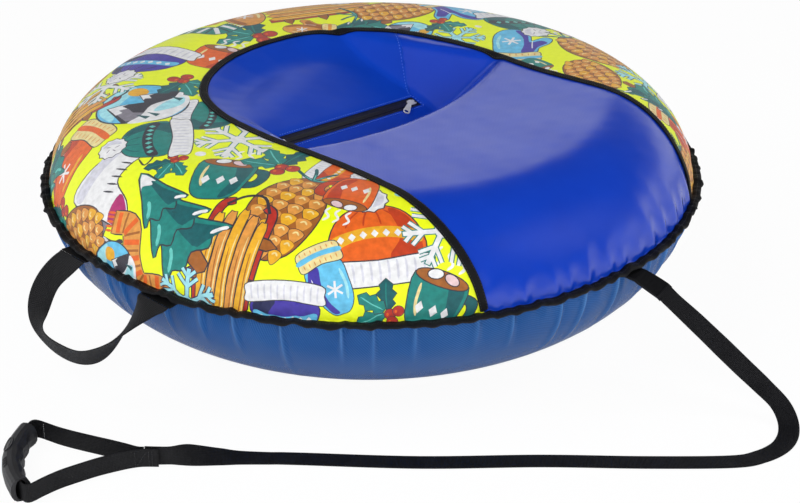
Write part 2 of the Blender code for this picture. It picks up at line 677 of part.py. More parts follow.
def build_seat_seam_binding(curve):
    """A raised tape along the seat seam, from rim to rim."""
    half = SEAM_TAPE_WIDTH / 2
    lines = []
    for across in (-half, 0.0, half):
        lines.append(offset_curve(curve, across)[1:-1])
    reach = TOP_FLAT - SEAM_TAPE_END_GAP
    for line in lines:
        for point in line:
            point *= min(1.0, reach / point.length)
    rings = []
    for left, middle, right in zip(*lines):
        base = [top_point(*p, lift=SEAM_TAPE_LIFT) for p in (left, middle, right)]
        high_left = top_point(*left.lerp(middle, 0.12), lift=SEAM_TAPE_LIFT + SEAM_TAPE_THICKNESS * 0.6)
        high_right = top_point(*right.lerp(middle, 0.12), lift=SEAM_TAPE_LIFT + SEAM_TAPE_THICKNESS * 0.6)
        crown = top_point(*middle, lift=SEAM_TAPE_LIFT + SEAM_TAPE_THICKNESS)
        rings.append([*base, high_right, crown, high_left])
    swept("seat_seam_binding", rings, ((0.012, 0.012, 0.014), 0.65))


def box_mesh(name, low, high):
    levels = [(y, z) for z in (low[2], high[2]) for y in (low[1], high[1])]
    points = [Vector((x, y, z)) for y, z in levels for x in (low[0], high[0])]
    faces = [(0, 1, 3, 2), (4, 6, 7, 5), (0, 4, 5, 1), (2, 3, 7, 6), (0, 2, 6, 4), (1, 5, 7, 3)]
    return outward(mesh_from(name, points, faces))


def prism_mesh(name, outline, low, high):
    """An upright prism on a convex or nearly convex outline."""
    count = len(outline)
    points = [(x, y, low) for x, y in outline] + [(x, y, high) for x, y in outline]
    faces = [tuple(reversed(range(count))), tuple(range(count, 2 * count))]
    for i in range(count):
        j = (i + 1) % count
        faces.append((i, j, count + j, count + i))
    return outward(mesh_from(name, points, faces))


def merge_meshes(name, meshes):
    """Separate solids of one node in one mesh."""
    shape = bmesh.new()
    for mesh in meshes:
        shape.from_mesh(mesh)
    joined = bpy.data.meshes.new(name)
    shape.to_mesh(joined)
    shape.free()
    return joined


def apply_boolean(thing, cutter_mesh, operation, name):
    """A Boolean with a hidden guide object, kept as a modifier."""
    guide = bpy.data.objects.new(name, cutter_mesh)
    bpy.context.scene.collection.objects.link(guide)
    guide.matrix_world = thing.matrix_world.copy()
    guide.hide_render = True
    guide.display_type = "WIRE"
    cut = thing.modifiers.new(name, "BOOLEAN")
    cut.operation = operation
    cut.solver = "EXACT"
    cut.object = guide
    return guide


def chain_mesh(name, side, x_low, x_high):
    """One half of the zip chain: a spine with a row of teeth that reach past the middle."""
    pitch = TOOTH_PITCH
    tooth = pitch / 2 - CLEARANCE
    count = int((x_high - x_low - tooth) / pitch)
    outer, inner = CHAIN_HALF_WIDTH, CHAIN_HALF_WIDTH - CHAIN_SPINE_WIDTH
    start = x_low + CLEARANCE + (0.0 if side > 0 else pitch / 2)
    edges = [x_low]
    for i in range(count):
        edges += [start + i * pitch, start + i * pitch + tooth]
    edges.append(x_high)
    points, faces = [], []

    def put(x, y, z):
        points.append((x, side * y, z))
        return len(points) - 1

    columns = []
    for i, x in enumerate(edges):
        toothed = 0 < i < len(edges) - 1
        column = {}
        for level in (-1, 1):
            z = level * CHAIN_HEIGHT / 2
            column["outer", level] = put(x, outer, z)
            column["inner", level] = put(x, inner, z)
            if toothed:
                column["tip", level] = put(x, -TOOTH_OVERREACH, z)
        columns.append(column)
    for i, (a, b) in enumerate(zip(columns, columns[1:])):
        toothed = i % 2 == 1
        for level in (-1, 1):
            faces.append((a["outer", level], b["outer", level], b["inner", level], a["inner", level]))
            if toothed:
                faces.append((a["inner", level], b["inner", level], b["tip", level], a["tip", level]))
        faces.append((a["outer", -1], b["outer", -1], b["outer", 1], a["outer", 1]))
        if toothed:
            faces.append((a["tip", -1], b["tip", -1], b["tip", 1], a["tip", 1]))
            for flank in (a, b):
                faces.append((flank["inner", -1], flank["tip", -1], flank["tip", 1], flank["inner", 1]))
        else:
            faces.append((a["inner", -1], b["inner", -1], b["inner", 1], a["inner", 1]))
    for end in (columns[0], columns[-1]):
        faces.append((end["outer", -1], end["inner", -1], end["inner", 1], end["outer", 1]))
    return outward(mesh_from(name, points, faces))


def build_zip(frame):
    half = ZIP_LENGTH / 2
    tape_low, tape_high = CHAIN_HALF_WIDTH + CLEARANCE, ZIP_SLOT_WIDTH / 2 + ZIP_TAPE_LAP
    left, right = -half - ZIP_LEFT_TUCK + CLEARANCE, half + ZIP_TAPE_LAP - CLEARANCE
    chain_left, chain_right = -half - CHAIN_LEFT_REACH, half - CHAIN_RIGHT_GAP
    black = ((0.01, 0.01, 0.016), 0.6)
    for name, side in (("front", -1), ("back", 1)):
        ends = sorted((side * tape_low, side * tape_high))
        low = (left, ends[0], -ZIP_TAPE_THICKNESS / 2)
        high = (right, ends[1], ZIP_TAPE_THICKNESS / 2)
        tape = add_object(f"zip_tape_{name}", box_mesh(f"zip_tape_{name}", low, high), black, smooth=False)
        tape.matrix_world = frame
        mesh = chain_mesh(f"zip_coil_{name}", side, chain_left, chain_right)
        coil = add_object(f"zip_coil_{name}", mesh, black, smooth=False)
        coil.matrix_world = frame

    nickel = ((0.55, 0.53, 0.47), 0.35, 1.0)
    stop_low, stop_high = SLIDER_POST_RADIUS + CLEARANCE, CHAIN_HALF_WIDTH
    stop_x = chain_right + SLIDER_LENGTH / 2 + CLEARANCE
    level = STOP_HEIGHT / 2
    for name, side in (("front", -1), ("back", 1)):
        ends = sorted((side * stop_low, side * stop_high))
        low, high = (stop_x, ends[0], -level), (stop_x + STOP_LENGTH, ends[1], level)
        name = f"zip_top_stop_{name}"
        top = add_object(name, box_mesh(name, low, high), nickel, smooth=False)
        top.matrix_world = frame
    stop_right = chain_left - CLEARANCE
    low, high = (stop_right - STOP_LENGTH, -CHAIN_HALF_WIDTH, -level), (stop_right, CHAIN_HALF_WIDTH, level)
    bottom = add_object("zip_bottom_stop", box_mesh("zip_bottom_stop", low, high), nickel, smooth=False)
    bottom.matrix_world = frame
    return chain_right


def slider_outline():
    """The slider's plate seen from above: narrow at the rear, wide and round at the front."""
    rear, front = SLIDER_REAR_WIDTH / 2, SLIDER_FRONT_WIDTH / 2
    half = SLIDER_LENGTH / 2
    points = [(-half, -rear * 0.7), (-half + rear * 0.3, -rear), (half - front, -front)]
    for i in range(1, 8):
        turn = -math.pi / 2 + math.pi * i / 8
        points.append((half - front + front * math.cos(turn), front * math.sin(turn)))
    points += [(half - front, front), (-half + rear * 0.3, rear), (-half, rear * 0.7)]
    return points


def tube_rings(path, radius, sides):
    """Rings of a round bar along a path in one upright plane."""
    rings = []
    for point, way in zip(path, tangents(path)):
        side = Vector((0.0, 1.0, 0.0))
        up = way.cross(side).normalized()
        rings.append([
            point + (side * math.cos(math.tau * i / sides) + up * math.sin(math.tau * i / sides)) * radius
            for i in range(sides)
        ])
    return rings


def rings_mesh(name, rings):
    sides = len(rings[0])
    points = [p for ring in rings for p in ring]
    faces = [tuple(range(sides)), tuple(reversed(range(len(points) - sides, len(points))))]
    for i in range(len(rings) - 1):
        for j in range(sides):
            k = (j + 1) % sides
            faces.append((i * sides + j, (i + 1) * sides + j, (i + 1) * sides + k, i * sides + k))
    return outward(mesh_from(name, points, faces))


def build_slider(frame, chain_right):
    """Two plates joined by a post in front of the chain, with a crown bar on top for the puller."""
    nickel = ((0.55, 0.53, 0.47), 0.3, 1.0)
    inner = CHAIN_HEIGHT / 2 + SLIDER_RUN
    place = frame @ Matrix.Translation((chain_right, 0.0, 0.0))
    outline = slider_outline()
    mesh = prism_mesh("zip_slider", outline, inner, inner + SLIDER_PLATE)
    slider = add_object("zip_slider", mesh, nickel, smooth=False)
    slider.matrix_world = place
    bpy.context.view_layer.update()
    post_x = CLEARANCE + SLIDER_POST_RADIUS
    post = ring_outline(SLIDER_POST_RADIUS, 10, post_x)
    lower = prism_mesh("slider lower plate", outline, -inner - SLIDER_PLATE, -inner)
    apply_boolean(slider, lower, "UNION", "slider lower plate")
    middle = prism_mesh("slider post", post, -inner - SLIDER_PLATE / 2, inner + SLIDER_PLATE / 2)
    apply_boolean(slider, middle, "UNION", "slider post")
    foot = inner + SLIDER_PLATE / 2
    path = []
    for i in range(13):
        turn = math.pi * i / 12
        path.append(Vector((CROWN_HALF_LENGTH * math.cos(turn), 0.0, foot + CROWN_RISE * math.sin(turn))))
    crown = rings_mesh("slider crown", tube_rings(path, CROWN_BAR_RADIUS, 8))
    apply_boolean(slider, crown, "UNION", "slider crown")

    eye_reach = CROWN_HALF_LENGTH * math.cos(CROWN_EYE_ANGLE)
    eye_height = foot + CROWN_RISE * math.sin(CROWN_EYE_ANGLE)
    return place @ Matrix.Translation((eye_reach, 0.0, eye_height))


def ring_outline(radius, count, centre_x=0.0):
    return [
        (centre_x + radius * math.cos(math.tau * i / count), radius * math.sin(math.tau * i / count))
        for i in range(count)
    ]


def build_puller(eye_frame):
    """A tapered tab: its eye holds the crown bar, and a long hole is at its free end. It lies along +X."""
    turn = Matrix.Rotation(math.pi + PULLER_SKEW, 4, "Z") @ Matrix.Rotation(PULLER_DROOP, 4, "Y")
    hinge = bpy.data.objects.new("puller_hinge", None)
    bpy.context.scene.collection.objects.link(hinge)
    hinge.matrix_world = eye_frame @ turn
    outer = PULLER_EYE_RADIUS + PULLER_EYE_WALL
    half, tip = PULLER_WIDTH / 2, PULLER_LENGTH
    outline = []
    for i in range(7):
        angle = math.pi / 2 + math.pi * i / 6
        outline.append((outer * math.cos(angle), outer * math.sin(angle)))
    outline += [(outer * 1.6, -outer), (tip - half, -half)]
    for i in range(1, 8):
        angle = -math.pi / 2 + math.pi * i / 8
        outline.append((tip - half + half * math.cos(angle), half * math.sin(angle)))
    outline += [(tip - half, half), (outer * 1.6, outer)]
    level = PULLER_THICKNESS / 2
    nickel = ((0.55, 0.53, 0.47), 0.3, 1.0)
    puller = add_object("zip_puller", prism_mesh("zip_puller", outline, -level, level), nickel, smooth=False)
    puller.parent = hinge
    bpy.context.view_layer.update()
    eye = prism_mesh("puller eye", ring_outline(PULLER_EYE_RADIUS, 14), -2 * level, 2 * level)
    apply_boolean(puller, eye, "DIFFERENCE", "puller eye")
    middle = tip - half
    hole = [
        (middle + x * PULLER_HOLE_LENGTH / 2, y * PULLER_HOLE_WIDTH / 2) for x, y in ring_outline(1.0, 16)
    ]
    cut = prism_mesh("puller hole", hole, -2 * level, 2 * level)
    apply_boolean(puller, cut, "DIFFERENCE", "puller hole")


def ellipse_arc(centre, width, rise, first, last):
    """Points of an elliptic arc, without its last one."""
    turns = [first + (last - first) * i / TUBE_ARC_STEPS for i in range(TUBE_ARC_STEPS)]
    return [(centre[0] + width * math.cos(t), centre[1] + rise * math.sin(t)) for t in turns]


def tube_profile(inset):
    """The inner tube's section as (radius, height) points, kept inside the inflated cover."""
    side, crest = TUBE_SIDE_ROOM + inset, TUBE_CREST_ROOM + COVER_THICKNESS + inset
    top_centre = (CREST_RADIUS, RIM_HEIGHT)
    top_rise = CREST_HEIGHT - RIM_HEIGHT - crest
    low_centre = (BOTTOM_FLAT_RADIUS, RIM_HEIGHT)
    low_width, low_rise = ROOT_RADIUS - BOTTOM_FLAT_RADIUS - side, RIM_HEIGHT - crest
    meet = -math.acos((TUBE_BOTTOM_RADIUS - BOTTOM_FLAT_RADIUS) / low_width)
    floor = RIM_HEIGHT + low_rise * math.sin(meet)
    waist = TUBE_INNER_RADIUS + inset
    half, whole = math.pi / 2, math.pi
    points = ellipse_arc(top_centre, ROOT_RADIUS - CREST_RADIUS - side, top_rise, 0.0, half)
    top_drop = RIM_HEIGHT + top_rise - TUBE_WAIST_HEIGHT
    points += ellipse_arc((CREST_RADIUS, TUBE_WAIST_HEIGHT), CREST_RADIUS - waist, top_drop, half, whole)
    foot = (TUBE_BOTTOM_RADIUS, TUBE_WAIST_HEIGHT)
    drop = TUBE_WAIST_HEIGHT - floor
    points += ellipse_arc(foot, TUBE_BOTTOM_RADIUS - waist, drop, whole, whole + half)
    points += ellipse_arc(low_centre, low_width, low_rise, meet, 0.0)
    return points


def revolve_mesh(name, profile, steps, turn=0.0):
    """A ring from a closed section, with its first vertex column at the given heading."""
    points, faces = [], []
    sides = len(profile)
    for step in range(steps):
        angle = turn + math.tau * step / steps
        points += [Vector((*polar(radius, angle), height)) for radius, height in profile]
    for i in range(steps):
        a, b = i * sides, (i + 1) % steps * sides
        for j in range(sides):
            k = (j + 1) % sides
            faces.append((a + j, b + j, b + k, a + k))
    return outward(mesh_from(name, points, faces))


def flip_mesh(mesh):
    mesh.flip_normals()
    return mesh


def valve_frame():
    """The valve's axis: +Z of this frame points from the inner tube to the middle of its hole."""
    way = Vector((-math.cos(VALVE_HEADING), -math.sin(VALVE_HEADING), 0.0))
    frame = way.to_track_quat("Z", "Y").to_matrix().to_4x4()
    chord = TUBE_INNER_RADIUS * math.cos(math.pi / TUBE_STEPS)
    frame.translation = Vector((*(-way.xy * chord), TUBE_WAIST_HEIGHT))
    return frame


def lathe_mesh(name, profile, sides=16):
    """A solid of revolution about Z, from a closed section of (radius, height) points."""
    rings = [[Vector((*polar(r, math.tau * i / sides), z)) for i in range(sides)] for r, z in profile]
    points = [p for ring in rings for p in ring]
    faces = []
    for i in range(len(rings)):
        a, b = i * sides, (i + 1) % len(rings) * sides
        for j in range(sides):
            k = (j + 1) % sides
            faces.append((a + j, b + j, b + k, a + k))
    return outward(mesh_from(name, points, faces))


def rod_mesh(name, radius, low, high, sides=16):
    return prism_mesh(name, ring_outline(radius, sides), low, high)


def build_inner_tube():
    rubber = ((0.015, 0.015, 0.016), 0.5)
    half_turn = math.pi / TUBE_STEPS
    outer = revolve_mesh("inner_tube", tube_profile(0.0), TUBE_STEPS, VALVE_HEADING + half_turn)
    hollow = revolve_mesh("tube hollow", tube_profile(TUBE_WALL), TUBE_STEPS, VALVE_HEADING + half_turn)
    mesh = merge_meshes("inner_tube", [outer, flip_mesh(hollow)])
    tube = add_object("inner_tube", mesh, rubber)
    frame = valve_frame()
    hole = rod_mesh("valve hole", VALVE_RADIUS + CLEARANCE, -VALVE_ROOT * 2, VALVE_ROOT)
    apply_boolean(tube, hole, "DIFFERENCE", "valve hole").matrix_world = frame

    # The patch is a pad cut to the tube's own curve
    seat = revolve_mesh("tube seat", tube_profile(-CLEARANCE), TUBE_STEPS, VALVE_HEADING + half_turn)
    patch_mesh = rod_mesh("valve_patch", PATCH_RADIUS, -PATCH_THICKNESS, PATCH_THICKNESS, sides=24)
    patch = add_object("valve_patch", patch_mesh, rubber)
    patch.matrix_world = frame
    bpy.context.view_layer.update()
    apply_boolean(patch, seat, "DIFFERENCE", "tube seat").matrix_world = Matrix.Identity(4)
    bore = rod_mesh("patch bore", VALVE_RADIUS + CLEARANCE, -VALVE_ROOT, VALVE_ROOT)
    apply_boolean(patch, bore, "DIFFERENCE", "patch bore")
    return frame


def build_valve(frame):
    rubber = ((0.015, 0.015, 0.016), 0.5)
    brass = ((0.72, 0.52, 0.2), 0.3, 1.0)
    collar = PATCH_THICKNESS + CLEARANCE
    stem_profile = [
        (VALVE_BORE_RADIUS, -VALVE_ROOT), (VALVE_RADIUS, -VALVE_ROOT),
        (VALVE_RADIUS, collar), (VALVE_FLANGE_RADIUS, collar),
        (VALVE_RADIUS + VALVE_FLANGE_THICKNESS, collar + VALVE_FLANGE_THICKNESS * 2),
        (VALVE_RADIUS, collar + VALVE_FLANGE_THICKNESS * 3),
        (VALVE_RADIUS, VALVE_LENGTH), (VALVE_BORE_RADIUS, VALVE_LENGTH),
    ]
    stem = add_object("valve_stem", lathe_mesh("valve_stem", stem_profile), rubber)
    stem.matrix_world = frame
    core_top = VALVE_LENGTH - CORE_INSET
    core_low = core_top - CORE_LENGTH
    core_radius = VALVE_BORE_RADIUS - CLEARANCE
    core_profile = [
        (CORE_BORE_RADIUS, core_low), (core_radius * 0.8, core_low), (core_radius, core_low + core_radius),
        (core_radius, core_top), (CORE_BORE_RADIUS, core_top),
    ]
    core = add_object("valve_core", lathe_mesh("valve_core", core_profile), brass)
    core.matrix_world = frame
    pin_low, pin_high = core_low - CORE_INSET * 2, core_top + VALVE_PIN_PROUD
    head = VALVE_BORE_RADIUS * 0.7
    pin_profile = [
        (VALVE_PIN_RADIUS * 0.2, pin_low), (head, pin_low), (head, pin_low + CORE_INSET / 2),
        (VALVE_PIN_RADIUS, pin_low + CORE_INSET / 2), (VALVE_PIN_RADIUS, pin_high),
        (VALVE_PIN_RADIUS * 0.2, pin_high),
    ]
    pin = add_object("valve_pin", capped_lathe("valve_pin", pin_profile), brass)
    pin.matrix_world = frame

    inner = VALVE_RADIUS + CLEARANCE
    outer = inner + CAP_WALL
    cap_top = VALVE_LENGTH + CAP_ROOM + CAP_WALL
    rings = []
    levels = (
        (inner, VALVE_LENGTH + CAP_ROOM, False), (inner, cap_top - CAP_LENGTH, False),
        (outer, cap_top - CAP_LENGTH, True), (outer, cap_top - CAP_WALL, True),
        (outer * 0.75, cap_top, False),
    )
    for radius, height, ribbed in levels:
        ring = []
        for i in range(2 * CAP_RIBS):
            reach = radius - (CAP_RIB_DEPTH if ribbed and i % 2 else 0.0)
            ring.append(Vector((*polar(reach, math.tau * i / (2 * CAP_RIBS)), height)))
        rings.append(ring)
    cap = add_object("valve_cap", rings_mesh("valve_cap", rings), ((0.02, 0.02, 0.02), 0.4))
    cap.matrix_world = frame


def capped_lathe(name, profile, sides=12):
    """A solid of revolution whose ends are small flat discs."""
    rings = [[Vector((*polar(r, math.tau * i / sides), z)) for i in range(sides)] for r, z in profile]
    return rings_mesh(name, rings)


def ribbon_rings(points, ways, widths, thickness):
    """Four-cornered rings of a strap: widths are the vectors across its half width."""
    rings = []
    for point, way, across in zip(points, ways, widths):
        out = way.cross(across).normalized() * thickness / 2
        low, high = point - out, point + out
        rings.append([low - across, low + across, high + across, high - across])
    return rings


def slant_ends(points, ways, widths):
    """Let both ends of a handle meet the line that they hang from, which they leave at a slant."""
    for order in (range(len(points)), range(len(points) - 1, -1, -1)):
        first = order[0]
        slant = -widths[first].y / ways[first].y
        gone = 0.0
        for i, before in zip(order, [first, *order]):
            gone += (points[i] - points[before]).length
            widths[i] = widths[i] + ways[i] * slant * max(1.0 - gone / HANDLE_SLANT_LENGTH, 0.0)


def build_handle(side):
    """A webbing loop hinged about the line through its two sewn ends, with its fixed tabs."""
    heading, hang = HANDLE_HEADINGS[side], HANDLE_HANGS[side]
    outwards = Vector((math.cos(heading), math.sin(heading), 0.0))
    along = Vector((-outwards.y, outwards.x, 0.0))
    end_reach = RIM_RADIUS * math.cos(HANDLE_SPREAD / 2) + HANDLE_TAB_OVERHANG
    half_chord = RIM_RADIUS * math.sin(HANDLE_SPREAD / 2)
    level = RIM_HEIGHT - BINDING_HALF_HEIGHT - CLEARANCE - HANDLE_THICKNESS / 2
    skirt = HANDLE_WIDTH / 2 * math.tan(HANDLE_SPREAD / 2)
    reach = end_reach + skirt
    centre = outwards * reach + Vector((0.0, 0.0, level))
    hinge = bpy.data.objects.new(f"handle_{side}_hinge", None)
    bpy.context.scene.collection.objects.link(hinge)
    down = outwards * math.cos(hang) - Vector((0.0, 0.0, math.sin(hang)))
    normal = along.cross(down)
    frame = Matrix((along, down, normal)).transposed().to_4x4()
    frame.translation = centre
    hinge.matrix_world = frame

    half_loop = half_chord / abs(HANDLE_ROUTE_SHARES[0][0])
    knots = [
        Vector((u * half_loop, v * HANDLE_LENGTH, twist))
        for (u, v), twist in zip(HANDLE_ROUTE_SHARES, HANDLE_TWISTS_DEG)
    ]
    curve = spline(knots, HANDLE_STEPS_PER_POINT)
    points = [Vector((k.x, max(k.y, 0.0), 0.0)) for k in curve]
    ways = tangents(points)
    widths = []
    for knot, way in zip(curve, ways):
        twist = math.radians(knot.z)
        flat = Vector((0.0, 0.0, 1.0)).cross(way)
        across = flat * math.cos(twist) + Vector((0.0, 0.0, 1.0)) * math.sin(twist)
        widths.append(across * HANDLE_WIDTH / 2)
    slant_ends(points, ways, widths)
    rings = ribbon_rings(points, ways, widths, HANDLE_THICKNESS)
    loop = swept(f"handle_{side}", rings, ((0.012, 0.012, 0.014), 0.8))
    loop.parent = hinge

    # Tabs sewn under the rim, one at each end of the loop
    for name, end in (("right", -1), ("left", 1)):
        middle = heading + end * HANDLE_SPREAD / 2
        inner_reach = RIM_RADIUS - BINDING_WIDTH + CLEARANCE
        half = widths[0 if end < 0 else -1].length
        corners = []
        for across in (-half, half):
            edge = middle + across / RIM_RADIUS
            corners.append(polar(inner_reach + half * half / RIM_RADIUS / 2, edge))
        far = reach - HINGE_RADIUS - CLEARANCE
        for across in (half, -half):
            spot = outwards.xy * far + along.xy * (end * half_chord + across)
            corners.append(spot)
        low, high = level - HANDLE_THICKNESS / 2, level + HANDLE_THICKNESS / 2
        name = f"handle_{side}_tab_{name}"
        mesh = prism_mesh(name, [(p.x, p.y) for p in corners], low, high)
        add_object(name, mesh, ((0.012, 0.012, 0.014), 0.8), smooth=False)


def build_tow_strap():
    black = ((0.012, 0.012, 0.014), 0.75)
    tie = polar(RIM_RADIUS, ANCHOR_HEADING)
    knots = [Vector((tie.x + x, tie.y + y, z, math.radians(twist))) for x, y, z, twist in TOW_ROUTE]
    curve = resample(spline(knots, 6), STRAP_STEP)
    points = [Vector(k.xyz) for k in curve]
    ways = tangents(points)
    widths = []
    for point, way, knot in zip(points, ways, curve):
        level = Vector((-way.y, way.x, 0.0)).normalized()
        up = way.cross(level)
        width = (level * math.cos(knot.w) + up * math.sin(knot.w)) * STRAP_WIDTH / 2
        point.z = max(point.z, abs(width.z) + STRAP_THICKNESS / 2 + STRAP_LIFT)
        widths.append(width)
    swept("tow_strap", ribbon_rings(points, ways, widths, STRAP_THICKNESS), black)

    # The anchor: the strap's doubled end, sewn under the rim
    level = RIM_HEIGHT - BINDING_HALF_HEIGHT - CLEARANCE - ANCHOR_THICKNESS / 2
    start = Vector((*polar(RIM_RADIUS - BINDING_WIDTH + CLEARANCE * 2, ANCHOR_HEADING), level))
    edge = Vector((*polar(RIM_RADIUS + ANCHOR_THICKNESS, ANCHOR_HEADING), level))
    end = points[0] - ways[0] * CLEARANCE
    back = end - ways[0] * ANCHOR_THICKNESS * 2
    path = resample(spline([start, edge, back, end], 6), STRAP_WIDTH / 5)
    for point in path:
        point.z = min(point.z, level)
    runs = tangents(path)
    runs[-1] = ways[0]
    first = Vector((-math.sin(ANCHOR_HEADING), math.cos(ANCHOR_HEADING), 0.0))
    across = []
    for i, run in enumerate(runs):
        mix = first.lerp(widths[0].normalized(), ramp(i / (len(runs) - 1)))
        mix -= run * mix.dot(run)
        across.append(mix.normalized() * STRAP_WIDTH / 2)
    swept("tow_anchor", ribbon_rings(path, runs, across, ANCHOR_THICKNESS), black)

    # The loop: the strap's other end, turned back through the grip and sewn to itself
    knots = [Vector((tie.x + x, tie.y + y, z)) for x, y, z in LOOP_ROUTE]
    path = resample(spline(knots, 6), LOOP_STEP)
    upright = [Vector((0.0, 0.0, STRAP_WIDTH / 2))] * len(path)
    runs = [Vector((run.x, run.y, 0.0)).normalized() for run in tangents(path)]
    swept("tow_loop", ribbon_rings(path, runs, upright, STRAP_THICKNESS), black)


def build_grip():
    """A bowed hollow grip with four finger waves on its inner side; the loop runs through it."""
    radius = GRIP_CHORD**2 / (8 * GRIP_BOW) + GRIP_BOW / 2
    sweep = 2 * math.asin(GRIP_CHORD / 2 / radius)
    centre = polar(RIM_RADIUS, ANCHOR_HEADING) + Vector(GRIP_MIDDLE) + polar(radius, GRIP_TURN)
    outer, inner = [], []
    for i in range(GRIP_RINGS + 1):
        share = i / GRIP_RINGS
        angle = math.pi + GRIP_TURN + sweep * (share - 0.5)
        middle = centre + polar(radius, angle)
        side = polar(1.0, angle)
        end = abs(2 * share - 1.0)
        swell = GRIP_END_SWELL * ramp((end - 0.8) / 0.2)
        wave = GRIP_WAVE_DEPTH * math.cos(math.tau * GRIP_WAVES * share) * ramp((1.0 - end) / 0.25)
        ring_out, ring_in = [], []
        for j in range(GRIP_SIDES):
            turn = math.tau * j / GRIP_SIDES
            reach = GRIP_WIDTH / 2 * (0.92 + 0.08 * (1.0 - end)) + swell / 2
            if math.cos(turn) < 0.0:
                reach += wave
            rise = GRIP_HEIGHT / 2
            across = math.copysign(abs(math.cos(turn)) ** 0.85, math.cos(turn))
            upward = math.copysign(abs(math.sin(turn)) ** 0.85, math.sin(turn))
            spot = middle + side * reach * across
            ring_out.append(Vector((spot.x, spot.y, GRIP_HEIGHT / 2 + rise * upward + CLEARANCE)))
            spot = middle + side * GRIP_BORE_WIDTH / 2 * across
            height = GRIP_HEIGHT / 2 + CLEARANCE
            ring_in.append(Vector((spot.x, spot.y, height + GRIP_BORE_HEIGHT / 2 * upward)))
        outer.append(ring_out)
        inner.append(ring_in)
    rings = outer + list(reversed(inner))
    swept("hand_grip", rings, ((0.03, 0.03, 0.032), 0.45), closed=True)


def main():
    clear_scene()
    curve = seam_curve()
    build_bottom_cover()
    build_top_panels(curve)
    build_rim_binding()
    build_seat_seam_binding(curve)
    frame = zip_frame()
    chain_right = build_zip(frame)
    build_puller(build_slider(frame, chain_right))
    build_valve(build_inner_tube())
    for side in ("left", "right"):
        build_handle(side)
    build_tow_strap()
    build_grip()


main()
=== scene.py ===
import math

import bpy
import numpy as np
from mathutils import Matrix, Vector
from mathutils.geometry import delaunay_2d_cdt
from mathutils.kdtree import KDTree


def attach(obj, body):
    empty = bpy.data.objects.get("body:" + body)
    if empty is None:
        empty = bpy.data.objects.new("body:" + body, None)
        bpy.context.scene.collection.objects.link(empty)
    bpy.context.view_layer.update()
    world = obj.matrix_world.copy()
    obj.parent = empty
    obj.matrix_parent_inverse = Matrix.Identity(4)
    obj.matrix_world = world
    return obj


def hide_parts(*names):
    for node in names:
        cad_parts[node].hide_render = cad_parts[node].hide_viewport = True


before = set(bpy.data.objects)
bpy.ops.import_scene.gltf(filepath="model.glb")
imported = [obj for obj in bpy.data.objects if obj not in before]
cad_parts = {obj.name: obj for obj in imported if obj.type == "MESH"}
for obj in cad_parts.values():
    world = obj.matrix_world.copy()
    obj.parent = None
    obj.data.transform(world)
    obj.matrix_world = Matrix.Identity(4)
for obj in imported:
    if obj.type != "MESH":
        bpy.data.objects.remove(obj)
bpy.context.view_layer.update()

scene = bpy.context.scene

# The studio: a white table and a white surround, a large soft lamp on the left, and two smaller ones
# on the right and in front. The camera looks down at the tube from in front by 28 degrees.
camera_data = bpy.data.cameras.new("photo_camera")
camera_data.lens = 90.0
camera_data.sensor_width = 36.0
camera = bpy.data.objects.new("photo_camera", camera_data)
camera.location = (0.037, -2.380, 1.293)
camera.rotation_euler = (math.radians(62.14), 0.0, 0.0)
scene.collection.objects.link(camera)
scene.camera = camera
scene.view_settings.view_transform = "Standard"


def add_node(material, kind, inputs=None, **settings):
    node = material.node_tree.nodes.new(kind)
    for name, value in settings.items():
        setattr(node, name, value)
    for name, value in (inputs or {}).items():
        node.inputs[name].default_value = value
    return node


def join_nodes(material, *pairs):
    for source, target in pairs:
        material.node_tree.links.new(source, target)


floor_mesh = bpy.data.meshes.new("table_top")
floor_mesh.from_pydata([(-9, -9, 0), (9, -9, 0), (9, 9, 0), (-9, 9, 0)], [], [(0, 1, 2, 3)])
floor = bpy.data.objects.new("table_top", floor_mesh)
floor.location.z = -0.0004
scene.collection.objects.link(floor)

table_white = bpy.data.materials.new("table_white")
table_white.use_nodes = True
table_white.node_tree.nodes.remove(table_white.node_tree.nodes["Principled BSDF"])
matt = add_node(table_white, "ShaderNodeBsdfDiffuse", {"Color": (0.86, 0.86, 0.87, 1.0)})
glow = add_node(table_white, "ShaderNodeEmission", {"Color": (1.0, 1.0, 1.0, 1.0), "Strength": 1.0})
rays = add_node(table_white, "ShaderNodeLightPath")
part_glow = add_node(table_white, "ShaderNodeMath", {1: 0.95}, operation="MULTIPLY")
table_mix = add_node(table_white, "ShaderNodeMixShader")
join_nodes(
    table_white,
    (rays.outputs["Is Camera Ray"], part_glow.inputs[0]),
    (part_glow.outputs[0], table_mix.inputs["Fac"]),
    (matt.outputs[0], table_mix.inputs[1]),
    (glow.outputs[0], table_mix.inputs[2]),
    (table_mix.outputs[0], table_white.node_tree.nodes["Material Output"].inputs["Surface"]),
)
floor_mesh.materials.append(table_white)


def smooth_ramp(material, *stops):
    """A ramp that eases through stops, each a place from 0 to 1 and a colour."""
    node = add_node(material, "ShaderNodeValToRGB")
    node.color_ramp.interpolation = "EASE"
    marks = node.color_ramp.elements
    marks[0].position, marks[1].position = stops[0][0], stops[-1][0]
    marks[0].color, marks[1].color = (*stops[0][1], 1.0), (*stops[-1][1], 1.0)
    for place, colour in stops[1:-1]:
        marks.new(place).color = (*colour, 1.0)
    return node


